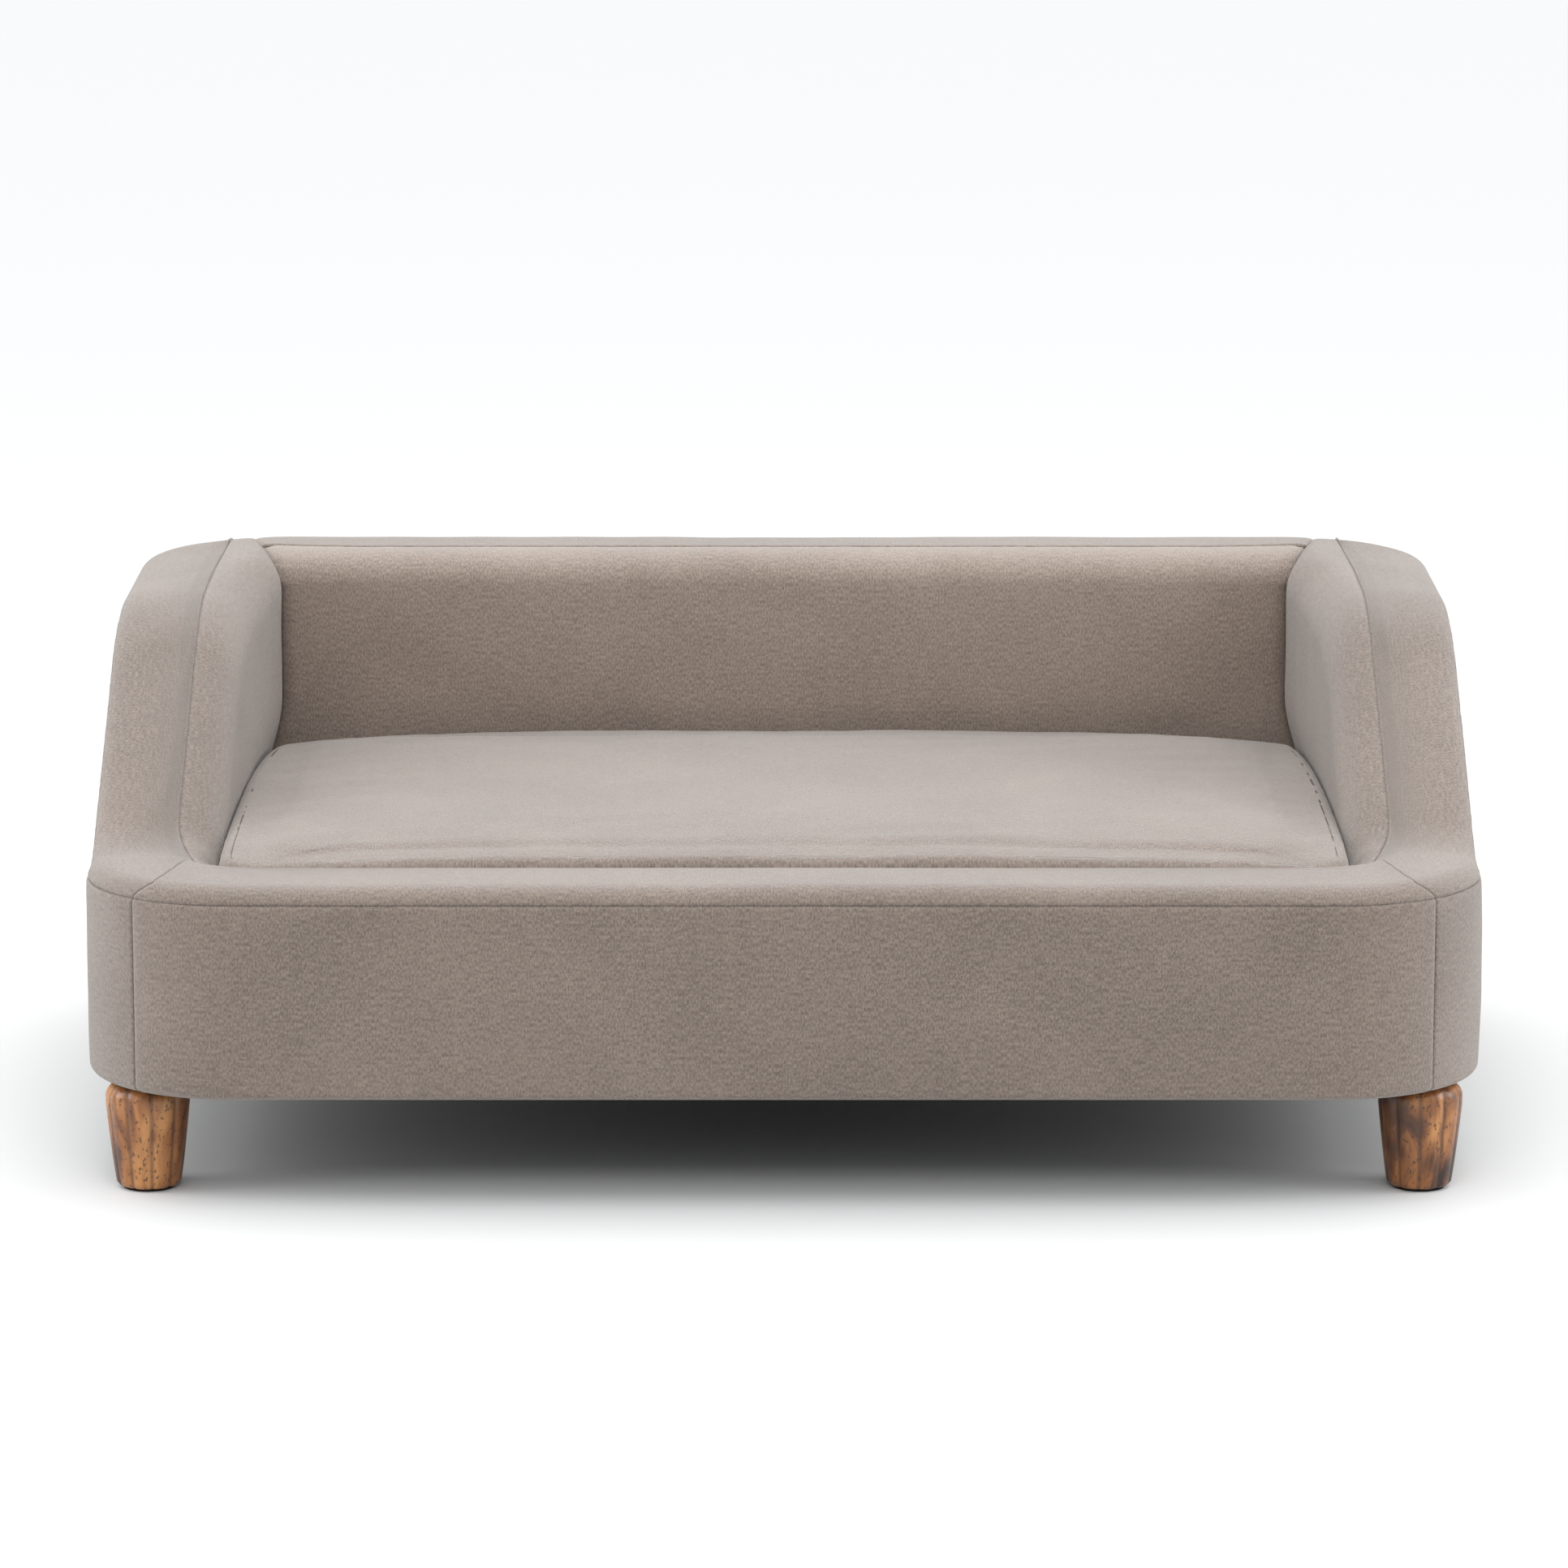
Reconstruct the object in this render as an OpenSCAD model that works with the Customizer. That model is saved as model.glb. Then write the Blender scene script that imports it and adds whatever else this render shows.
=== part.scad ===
// Raised dog bed: an upholstered timber frame on four reeded wooden legs, with a loose seat cushion.
// Millimetres. The origin is on the floor under the middle of the bed, +Z is up and the low front faces -Y.

/* [Body] */
// Overall width, side to side
body_w = 914; // [820:2:1100]
// Overall depth, front to back
body_d = 610; // [560:2:720]
// Height of the back and of the arms' rear half
back_h = 343; // [325:1:400]
// Height of the low front
rail_h = 212; // [205:1:225]
// Radius of the upright corners, seen from above
corner_r = 101; // [96:1:110]
// Height of a leg with its felt pad
leg_h = 70; // [60:1:76]

/* [Walls] */
// Thickness of each arm at the seat
arm_t = 85; // [80:1:100]
// Thickness of the low front
front_t = 74; // [72:1:90]
// Thickness of the back
back_t = 90; // [85:1:110]
// Distance from the front face to where the arms start to rise
rise_start = 130; // [120:1:150]
// Length over which the arms rise, front to back
rise_run = 201; // [170:1:240]
// Radius of the hollow curve at the foot of the rise
foot_r = 90; // [60:1:110]
// Radius of the round shoulder at the head of the rise
shoulder_r = 160; // [100:1:180]

/* [Upholstery] */
// Thickness of the cover fabric
fabric = 1.6; // [1.2:0.1:2]
// Thickness of the foam sheet round the outside
wrap = 10; // [8:1:12]
// Thickness of the foam cap on top of the walls
cap = 20; // [16:1:24]
// Width of the sewn top strip on the arms and the back, from the outer face to the inner seam
strip_w = 57; // [50:1:62]
// Width of the sewn top strip on the low front
front_strip_w = 68; // [60:1:71]
// Width of the cover's turn-under beneath the frame
turn_under = 25; // [20:1:30]

/* [Frame] */
// Thickness of the frame boards
board = 18; // [15:1:18]
// Thickness of the seat deck
deck_t = 12; // [9:1:15]
// Height of the deck's top above the floor
deck_z = 152; // [148:1:154]
// Width of a square corner post
post_w = 70.4; // [64:0.2:74]
// Width of a batten under the deck
batten_w = 20; // [18:1:25]
// Height of a batten under the deck
batten_h = 30; // [25:1:32]

/* [Cushion] */
// Thickness of the loose cushion
cushion_t = 62.5; // [50:0.5:63]
// Gap between the cushion and the walls beside and before it
cushion_gap = 3; // [2:0.5:5]
// Gap behind the cushion, where the zip lies
zip_gap = 8; // [7.5:0.5:12]
// Radius of the cushion's corners, seen from above
cushion_r = 30; // [20:1:40]
// Length of the zip
zip_l = 592; // [400:2:640]

/* [Legs] */
// Greatest radius of a leg, near its top
leg_r = 27.5; // [24:0.5:29]
// Radius of a leg at the foot
foot_leg_r = 20.8; // [18:0.2:22]
// Number of reeds round a leg
reeds = 10; // [8:1:12]
// Distance of a leg's axis from the side face
leg_in_x = 41; // [40:1:46]
// Distance of a leg's axis from the front or back face
leg_in_y = 60; // [58:1:64]

/* [Hidden] */
$fn = 48;

taupe = "#A89A90";
pale_taupe = "#B9ADA5";
foam_cream = "#EFE6C8";
pine = "#D9B98A";
ply = "#C9A877";
walnut = "#7A5236";
zinc = "#B8BBBE";
steel = "#8E9296";
black_cloth = "#2B2B2C";

eps = 0.01;                          // overlap that joins two solids of one piece
arc_steps = 9;                       // straight pieces in each quarter of a rounded outline
half_w = body_w / 2;
half_d = body_d / 2;
well_x = half_w - arm_t;             // inner face of each arm
well_front = -half_d + front_t;      // inner face of the low front
well_back = half_d - back_t;         // inner face of the back
dust_t = 0.8;                        // thickness of the dust cover
frame_z = leg_h + dust_t + fabric;   // underside of the boards and posts
board_in = fabric + wrap;            // inset of the boards' outer face
board_x = half_w - board_in;         // outer face of a side board
board_y = half_d - board_in;         // outer face of the front and back boards
post_x = board_x - post_w;           // inner face of a corner post, across the bed
post_y = board_y - post_w;           // inner face of a corner post, along the bed
under_cap = fabric + cap;            // depth of the boards' top below the crest
leg_x = half_w - leg_in_x;
leg_y = half_d - leg_in_y;
beam_w = 30;
beam_h = 40;

// Points on an arc, from angle a0 to angle a1
function arc(centre, r, a0, a1) = [
    for (i = [0 : arc_steps])
        let (a = a0 + (a1 - a0) * i / arc_steps)
            centre + r * [cos(a), sin(a)]
];

// A rectangle from low to high with rounded corners
module rounded(low, high, r) {
    translate([low.x + r, low.y]) square([high.x - low.x - 2 * r, high.y - low.y]);
    translate([low.x, low.y + r]) square([high.x - low.x, high.y - low.y - 2 * r]);
    for (x = [low.x + r, high.x - r], y = [low.y + r, high.y - r]) translate([x, y]) circle(r = r);
}

// The bed's outline from above, moved inwards by inset
module outline(inset) {
    rounded([-half_w + inset, -half_d + inset], [half_w - inset, half_d - inset], corner_r - inset);
}

// The crest line of front, rise and back, seen from the side and lowered by drop.
// Each bend is an arc that touches both of its straight lines.
rise_a = atan((back_h - rail_h) / rise_run);
foot_y = -half_d + rise_start;
shoulder_y = foot_y + rise_run;
foot_tangent = foot_r * tan(rise_a / 2);
shoulder_tangent = shoulder_r * tan(rise_a / 2);
function crest(drop) = [
    for (p = concat(
        [[-half_d - 1, rail_h]],
        arc([foot_y - foot_tangent, rail_h + foot_r], foot_r, -90, -90 + rise_a),
        arc([shoulder_y + shoulder_tangent, back_h - shoulder_r], shoulder_r, 90 + rise_a, 90),
        [[half_d + 1, back_h]]
    )) p - [0, drop]
];
function backwards(points) = [for (i = [len(points) - 1 : -1 : 0]) points[i]];

// A side-view outline drawn out across the bed, from x0 to x1
module across(points, x0, x1) {
    translate([x0, 0, 0]) rotate([90, 0, 90]) linear_extrude(x1 - x0) polygon(points);
}

// Everything from z0 up to the crest lowered by drop
module below_crest(z0, drop, x0 = -half_w - 1, x1 = half_w + 1) {
    across(concat([[-half_d - 1, z0]], crest(drop), [[half_d + 1, z0]]), x0, x1);
}

// The band between two lowered crests
module crest_band(upper, lower, x0 = -half_w - 1, x1 = half_w + 1) {
    across(concat(crest(upper), backwards(crest(lower))), x0, x1);
}

// A block between two opposite corners
module block(low, high) {
    translate(low) cube(high - low);
}

// The four quarters of the walls, seen from above, cut along the corner seams
module front_quarter() {
    polygon([[-half_w, -half_d], [half_w, -half_d], [well_x, well_front], [-well_x, well_front]]);
}
module back_quarter() {
    polygon([[-half_w, half_d], [-well_x, well_back], [well_x, well_back], [half_w, half_d]]);
}
module right_quarter() {
    polygon([[half_w, -half_d], [half_w, half_d], [well_x, well_back], [well_x, well_front]]);
}
// The arm's own top runs on to the back face
module right_arm_top() {
    polygon([[half_w, -half_d], [half_w, half_d], [well_x, half_d], [well_x, well_front]]);
}

// Mirrors a right-hand piece to the left
module left_of() {
    mirror([1, 0, 0]) children();
}

// ---- frame ----

// Dowels join each board's ends to the posts: half of a dowel sits in each
dowel_r = 3;
dowel_l = 28;
dowel_fit = 0.05;
dowel_in = 11.5;                     // a dowel's depth behind the board's outer face
function dowel_heights(y) = [frame_z + 30, (y < 0 ? rail_h - 25 : back_h - 40) - under_cap];
module board_end_dowels() {
    for (x = [-post_x, post_x], y = [-board_y + dowel_in, board_y - dowel_in], z = dowel_heights(y))
        translate([x - dowel_l / 2, y, z]) rotate([0, 90, 0]) children();
    for (x = [-board_x + dowel_in, board_x - dowel_in], y = [-post_y, post_y], z = dowel_heights(y))
        translate([x, y + dowel_l / 2, z]) rotate([90, 0, 0]) children();
}
module dowel_holes() {
    board_end_dowels() cylinder(r = dowel_r + dowel_fit, h = dowel_l);
}
module frame_dowels() {
    color(pine) board_end_dowels() cylinder(r = dowel_r, h = dowel_l);
}

// The boards' ends are rounded off where the corner curve starts
module inside_corners() {
    linear_extrude(back_h + 1) outline(board_in);
}
module front_board() {
    color(ply) difference() {
        intersection() {
            block([-post_x, -board_y, frame_z], [post_x, -board_y + board, rail_h - under_cap]);
            inside_corners();
        }
        dowel_holes();
    }
}
module back_board() {
    color(ply) difference() {
        intersection() {
            block([-post_x, board_y - board, frame_z], [post_x, board_y, back_h - under_cap]);
            inside_corners();
        }
        dowel_holes();
    }
}
module side_board() {
    color(ply) difference() {
        intersection() {
            below_crest(frame_z, under_cap, board_x - board, board_x);
            block([0, -post_y, 0], [half_w, post_y, back_h]);
            inside_corners();
        }
        dowel_holes();
    }
}

// Corner post: a square post with its outer edge rounded, bored from below for the leg's insert
module corner_post(top) {
    color(pine) difference() {
        intersection() {
            translate([0, 0, frame_z]) linear_extrude(top - frame_z) outline(board_in);
            block([post_x, post_y, 0], [half_w, half_d, back_h]);
        }
        translate([leg_x, leg_y, frame_z - 1]) cylinder(r = insert_r, h = insert_l + 3);
        mirror([0, top < back_h - under_cap ? 1 : 0, 0]) dowel_holes();
    }
}
module corner_post_back() {
    corner_post(back_h - under_cap);
}
module corner_post_front() {
    mirror([0, 1, 0]) corner_post(rail_h - under_cap);
}

// Battens and beam that carry the deck
batten_top = deck_z - deck_t;
module long_batten() {
    color(pine) difference() {
        block([-post_x, -board_y + board, batten_top - batten_h], [post_x, -board_y + board + batten_w, batten_top]);
        deck_screw_places() cylinder(r = screw_r + screw_fit, h = screw_l, center = true);
    }
}
module side_batten() {
    color(pine) difference() {
        block([board_x - board - batten_w, -post_y, batten_top - batten_h], [board_x - board, post_y, batten_top]);
        deck_screw_places() cylinder(r = screw_r + screw_fit, h = screw_l, center = true);
    }
}
module centre_beam() {
    beam_y = board_y - board - batten_w;
    color(pine) difference() {
        block([-beam_w / 2, -beam_y, batten_top - beam_h], [beam_w / 2, beam_y, batten_top]);
        deck_screw_places() cylinder(r = screw_r + screw_fit, h = screw_l, center = true);
    }
}

// Deck screws: countersunk, through the deck into the battens and the beam
screw_r = 2;
screw_l = 50;
screw_head_r = 4;
screw_head_h = 2.6;
screw_fit = 0.05;
module deck_screw_places() {
    long_y = board_y - board - batten_w / 2;
    side_x = board_x - board - batten_w / 2;
    for (x = [-300, -100, 100, 300], y = [-long_y, long_y]) translate([x, y, deck_z]) children();
    for (x = [-side_x, side_x], y = [-130, 130]) translate([x, y, deck_z]) children();
    for (y = [-150, 0, 150]) translate([0, y, deck_z]) children();
}
module countersunk_screw(grow) {
    translate([0, 0, -screw_l / 2 + 1]) cylinder(r = screw_r + grow, h = screw_l / 2 - 1 - screw_head_h + eps);
    translate([0, 0, -screw_head_h]) cylinder(r1 = screw_r + grow, r2 = screw_head_r + grow, h = screw_head_h);
}
module deck_screws() {
    color(zinc) deck_screw_places() countersunk_screw(0);
}
module seat_deck() {
    deck_x = board_x - board;
    deck_y = board_y - board;
    color(ply) difference() {
        block([-deck_x, -deck_y, batten_top], [deck_x, deck_y, deck_z]);
        for (x = [-1, 1], y = [-1, 1])
            post_notch(x, y, deck_x, deck_y);
        deck_screw_places() countersunk_screw(screw_fit);
    }
}
// The notch that clears a corner post
module post_notch(sx, sy, deck_x, deck_y) {
    block(
        [min(sx * post_x, sx * (deck_x + 1)), min(sy * post_y, sy * (deck_y + 1)), batten_top - 1],
        [max(sx * post_x, sx * (deck_x + 1)), max(sy * post_y, sy * (deck_y + 1)), deck_z + 1]
    );
}

// ---- legs ----

bolt_r = 3.95;
bolt_bore_r = 4;
bolt_in_leg = 26;
bolt_in_frame = 20;
insert_r = 6;
insert_l = 22;
pad_r = 17;
pad_t = 2;

module four_corners() {
    for (x = [-leg_x, leg_x], y = [-leg_y, leg_y]) translate([x, y, 0]) children();
}

// Leg: a turned, tapering body with a round shoulder; reeds are left between narrow upright grooves
module leg() {
    belly_z = leg_h - 17;
    groove_r = 3;
    groove_cut = 1.5;
    lean = atan((leg_r - foot_leg_r) / (belly_z - pad_t));
    shoulder = 7;
    color(walnut) difference() {
        rotate_extrude() polygon(concat(
            [[0, pad_t], [foot_leg_r - 1.2, pad_t], [foot_leg_r, pad_t + 1.2], [leg_r, belly_z], [leg_r, leg_h - shoulder]],
            [for (a = [15 : 15 : 90]) [leg_r - shoulder * (1 - cos(a)), leg_h - shoulder + shoulder * sin(a)]],
            [[0, leg_h]]
        ));
        for (i = [0 : reeds - 1]) rotate(360 * (i + 0.5) / reeds)
            translate([foot_leg_r + groove_r - groove_cut, 0, pad_t]) rotate([0, lean, 0])
                translate([0, 0, -5]) cylinder(r = groove_r, h = belly_z + 12);
        translate([0, 0, leg_h - bolt_in_leg]) cylinder(r = bolt_bore_r, h = bolt_in_leg + 1);
    }
}
module felt_pad() {
    color(black_cloth) cylinder(r = pad_r, h = pad_t);
}
module hanger_bolts() {
    color(zinc) four_corners() translate([0, 0, leg_h - bolt_in_leg]) cylinder(r = bolt_r, h = bolt_in_leg + bolt_in_frame);
}
module leg_inserts() {
    color(steel) four_corners() translate([0, 0, frame_z]) difference() {
        cylinder(r = insert_r - 0.05, h = insert_l);
        translate([0, 0, -1]) cylinder(r = bolt_bore_r, h = insert_l + 2);
    }
}

// ---- underside ----

module dust_cover() {
    color(black_cloth) difference() {
        translate([0, 0, leg_h]) linear_extrude(dust_t) outline(12);
        four_corners() translate([0, 0, leg_h - 1]) cylinder(r = insert_r, h = 4);
    }
}
// Wire staples that hold the dust cover: only their crowns show
module dust_cover_staples() {
    crown = [10, 1.2, 0.7];
    edge = 20;
    color(steel) {
        for (x = [-330 : 66 : 330], y = [-half_d + edge, half_d - edge])
            translate([x, y, leg_h - crown.z / 2]) cube(crown, center = true);
        for (y = [-180 : 60 : 180], x = [-half_w + edge, half_w - edge])
            translate([x, y, leg_h - crown.z / 2]) rotate(90) cube(crown, center = true);
    }
}

// ---- foam ----

// A sheet round the outside, as high as the boards, over one quarter of the outline
module foam_wrap() {
    color(foam_cream) intersection() {
        translate([0, 0, frame_z]) linear_extrude(back_h) intersection() {
            difference() {
                outline(fabric);
                outline(board_in);
            }
            children();
        }
        below_crest(frame_z, under_cap);
    }
}
// A cap on top of one wall, seen from above as the child
module foam_cap() {
    color(foam_cream) intersection() {
        linear_extrude(back_h + 1) intersection() {
            difference() {
                outline(fabric);
                polygon(well(fabric));
            }
            children();
        }
        crest_band(fabric, under_cap);
    }
}
function well(grow) = [
    [-well_x - grow, well_front - grow], [well_x + grow, well_front - grow],
    [well_x + grow, well_back + grow], [-well_x - grow, well_back + grow]
];
module back_top() {
    polygon([[-well_x, well_back], [well_x, well_back], [well_x, half_d], [-well_x, half_d]]);
}

module front_inner_foam() {
    color(foam_cream) block([-well_x, -board_y + board, deck_z], [well_x, well_front - fabric, rail_h - under_cap]);
}
module back_inner_foam() {
    color(foam_cream) block([-well_x, well_back + fabric, deck_z], [well_x, board_y - board, back_h - under_cap]);
}
module arm_inner_foam() {
    color(foam_cream) intersection() {
        below_crest(deck_z, under_cap, well_x + fabric, board_x - board);
        block([0, -post_y, 0], [half_w, post_y, back_h]);
    }
}

// ---- cover ----

// An outer panel: it stands from the turn-under to the top strip, over one quarter of the outline
module outer_panel() {
    color(taupe) {
        intersection() {
            translate([0, 0, frame_z - eps]) linear_extrude(back_h) intersection() {
                difference() {
                    outline(0);
                    outline(fabric);
                }
                children();
            }
            below_crest(frame_z - eps, fabric);
        }
        translate([0, 0, frame_z - fabric]) linear_extrude(fabric) intersection() {
            difference() {
                outline(0);
                outline(turn_under);
                four_corners() circle(r = insert_r);
            }
            children();
        }
    }
}

// The area inside the inner seam, which is round at the front corners and runs straight to the back
// along the arms
seam_x = half_w - strip_w;
seam_y = -half_d + front_strip_w;
seam_r = 35;
module inner_seam() {
    translate([-seam_x + seam_r, seam_y]) square([2 * seam_x - 2 * seam_r, 2 * seam_r]);
    translate([-seam_x, seam_y + seam_r]) square([2 * seam_x, 2 * half_d]);
    for (x = [-seam_x + seam_r, seam_x - seam_r]) translate([x, seam_y + seam_r]) circle(r = seam_r);
}

// A fabric layer on the crest, seen from above as the child
module crest_layer() {
    intersection() {
        linear_extrude(back_h + 1) children();
        crest_band(0, fabric);
    }
}
module front_top_strip() {
    color(pale_taupe) crest_layer() intersection() {
        difference() {
            outline(0);
            inner_seam();
        }
        front_quarter();
    }
}
module arm_top_strip() {
    color(pale_taupe) crest_layer() intersection() {
        difference() {
            outline(0);
            inner_seam();
        }
        right_arm_top();
    }
}
module back_top_strip() {
    color(pale_taupe) crest_layer() polygon([
        [-well_x, half_d - strip_w], [well_x, half_d - strip_w], [well_x, half_d], [-well_x, half_d]
    ]);
}

// Inner panels: a flap on the crest, up to the seam, and a face that stands on the deck
module front_inner_cover() {
    color(taupe) {
        crest_layer() intersection() {
            difference() {
                inner_seam();
                polygon(well(0));
            }
            front_quarter();
        }
        block([-well_x, well_front - fabric, deck_z], [well_x, well_front, rail_h - fabric + eps]);
    }
}
module arm_inner_cover() {
    color(taupe) {
        crest_layer() intersection() {
            difference() {
                inner_seam();
                polygon(well(0));
            }
            right_arm_top();
            outline(0);
        }
        intersection() {
            below_crest(deck_z, fabric - eps, well_x, well_x + fabric);
            block([0, well_front - fabric, 0], [half_w, well_back + fabric, back_h]);
        }
    }
}
module back_inner_cover() {
    color(taupe) {
        crest_layer() polygon([
            [-well_x, well_back], [well_x, well_back], [well_x, half_d - strip_w], [-well_x, half_d - strip_w]
        ]);
        block([-well_x, well_back, deck_z], [well_x, well_back + fabric, back_h - fabric + eps]);
    }
}
deck_cloth_t = 1.2;
module deck_cloth() {
    color(black_cloth) block([-well_x, well_front, deck_z], [well_x, well_back, deck_z + deck_cloth_t]);
}

// ---- cushion ----

cushion_clear = 0.3;                          // clearance under the cushion
cushion_z = deck_z + deck_cloth_t + cushion_clear;
cushion_top = cushion_z + cushion_t;
cushion_x = well_x - cushion_gap;
cushion_front = well_front + cushion_gap;
cushion_back = well_back - zip_gap;
tape_t = 1;                                  // thickness of the zip's tape
zip_z = cushion_z + cushion_t / 2;
zip_slot = 8;                                // height of the slot that the zip's teeth show through
zip_zone_y = cushion_back - cushion_r;       // where the zip panel takes over from the cover

module cushion_plan(inset) {
    rounded(
        [-cushion_x + inset, cushion_front + inset], [cushion_x - inset, cushion_back - inset], cushion_r - inset
    );
}
// Soft foam slab inside the cover
module cushion_core() {
    inset = fabric + tape_t;
    color(foam_cream) translate([0, 0, cushion_z + fabric])
        linear_extrude(cushion_t - 2 * fabric) cushion_plan(inset);
}
module cushion_band() {
    translate([0, 0, cushion_z]) linear_extrude(cushion_t) difference() {
        cushion_plan(0);
        cushion_plan(fabric);
    }
}
// Top and bottom panels, with the band round the front and the sides
module cushion_cover() {
    color(pale_taupe) {
        for (z = [cushion_z, cushion_top - fabric])
            translate([0, 0, z]) linear_extrude(fabric) cushion_plan(0);
        intersection() {
            cushion_band();
            block([-half_w, -half_d, 0], [half_w, zip_zone_y, back_h]);
        }
    }
}
// The band across the back, slit for the zip
module zip_panel() {
    color(pale_taupe) difference() {
        intersection() {
            cushion_band();
            block([-half_w, zip_zone_y, cushion_z + fabric], [half_w, half_d, cushion_top - fabric]);
        }
        block([-zip_l / 2 - 4, 0, zip_z - zip_slot / 2], [zip_l / 2 + 4, half_d, zip_z + zip_slot / 2]);
    }
}
// Tape with the two rows of coil and a stop at each end
module zip_tape() {
    tape_y = cushion_back - fabric - tape_t;
    coil_y = 1.8;
    coil_z = 2.6;
    color("#6F665F") {
        block([-zip_l / 2 - 8, tape_y, zip_z - 13], [zip_l / 2 + 8, tape_y + tape_t, zip_z + 13]);
        for (side = [-1, 1]) translate([0, 0, zip_z + side * (coil_z / 2 + 0.1)])
            block([-zip_l / 2, tape_y + tape_t - eps, -coil_z / 2], [zip_l / 2, tape_y + tape_t + coil_y, coil_z / 2]);
        for (side = [-1, 1]) translate([side * (zip_l / 2 + 2), 0, zip_z])
            block([-1.6, tape_y + tape_t - eps, -3.4], [1.6, tape_y + tape_t + coil_y + 0.6, 3.4]);
    }
}
// Slider: a plate over the coil with two side flanges and a headed rivet for the pull
slider_x = -zip_l / 2 + 11;
slider_l = 14;
slider_y = cushion_back + 0.5;
plate_t = 2.5;
rivet_r = 1.2;
pull_t = 1.3;
pull_gap = 0.3;
module zip_slider() {
    rivet_l = pull_gap + pull_t + pull_gap;
    color(steel) translate([slider_x, slider_y, zip_z]) {
        block([-slider_l / 2, 0, -4.4], [slider_l / 2, plate_t, 4.4]);
        for (side = [-1, 1]) translate([0, 0, side * 3.3])
            block([-slider_l / 2, -1.8, -0.3], [slider_l / 2, eps, 0.3]);
        translate([0, plate_t - eps, 0]) rotate([-90, 0, 0]) cylinder(r = rivet_r, h = rivet_l + 2 * eps);
        translate([0, plate_t + rivet_l, 0]) rotate([-90, 0, 0]) cylinder(r = 2.2, h = 0.8);
    }
}
// Pull: a flat tab with an eye round the rivet, hanging down
module zip_pull() {
    pull_l = 18;
    eye_r = 3.6;
    grip_w = 8;
    color(steel) translate([slider_x, slider_y + plate_t + pull_gap, zip_z]) rotate([90, 0, 0]) mirror([0, 0, 1])
        difference() {
            union() {
                cylinder(r = eye_r, h = pull_t);
                linear_extrude(pull_t) polygon([
                    [-2.4, -2.2], [2.4, -2.2], [2.4, -6], [grip_w / 2, -9], [grip_w / 2, 2 - pull_l],
                    [grip_w / 2 - 2, -pull_l], [2 - grip_w / 2, -pull_l], [-grip_w / 2, 2 - pull_l],
                    [-grip_w / 2, -9], [-2.4, -6]
                ]);
            }
            translate([0, 0, -1]) cylinder(r = rivet_r + 0.3, h = pull_t + 2);
        }
}

front_board();
back_board();
left_of() side_board();  // side_board_left
side_board();  // side_board_right
left_of() corner_post_front();  // corner_post_front_left
corner_post_front();  // corner_post_front_right
left_of() corner_post_back();  // corner_post_back_left
corner_post_back();  // corner_post_back_right
long_batten();  // front_batten
mirror([0, 1, 0]) long_batten();  // back_batten
left_of() side_batten();  // side_batten_left
side_batten();  // side_batten_right
centre_beam();
seat_deck();
deck_screws();
frame_dowels();
leg_inserts();
hanger_bolts();
translate([-leg_x, -leg_y, 0]) leg();  // leg_front_left
translate([leg_x, -leg_y, 0]) leg();  // leg_front_right
translate([-leg_x, leg_y, 0]) leg();  // leg_back_left
translate([leg_x, leg_y, 0]) leg();  // leg_back_right
translate([-leg_x, -leg_y, 0]) felt_pad();  // felt_pad_front_left
translate([leg_x, -leg_y, 0]) felt_pad();  // felt_pad_front_right
translate([-leg_x, leg_y, 0]) felt_pad();  // felt_pad_back_left
translate([leg_x, leg_y, 0]) felt_pad();  // felt_pad_back_right
dust_cover();
dust_cover_staples();
foam_wrap() front_quarter();  // front_foam_wrap
left_of() foam_wrap() right_quarter();  // side_foam_wrap_left
foam_wrap() right_quarter();  // side_foam_wrap_right
foam_wrap() back_quarter();  // back_foam_wrap
foam_cap() front_quarter();  // front_foam_cap
left_of() foam_cap() right_arm_top();  // arm_foam_cap_left
foam_cap() right_arm_top();  // arm_foam_cap_right
foam_cap() back_top();  // back_foam_cap
front_inner_foam();
left_of() arm_inner_foam();  // arm_inner_foam_left
arm_inner_foam();  // arm_inner_foam_right
back_inner_foam();
outer_panel() front_quarter();  // front_cover
left_of() outer_panel() right_quarter();  // side_cover_left
outer_panel() right_quarter();  // side_cover_right
outer_panel() back_quarter();  // back_cover
front_top_strip();
left_of() arm_top_strip();  // arm_top_strip_left
arm_top_strip();  // arm_top_strip_right
back_top_strip();
front_inner_cover();
left_of() arm_inner_cover();  // arm_inner_cover_left
arm_inner_cover();  // arm_inner_cover_right
back_inner_cover();
deck_cloth();
cushion_core();
cushion_cover();
zip_panel();
zip_tape();
zip_slider();
zip_pull();
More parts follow.
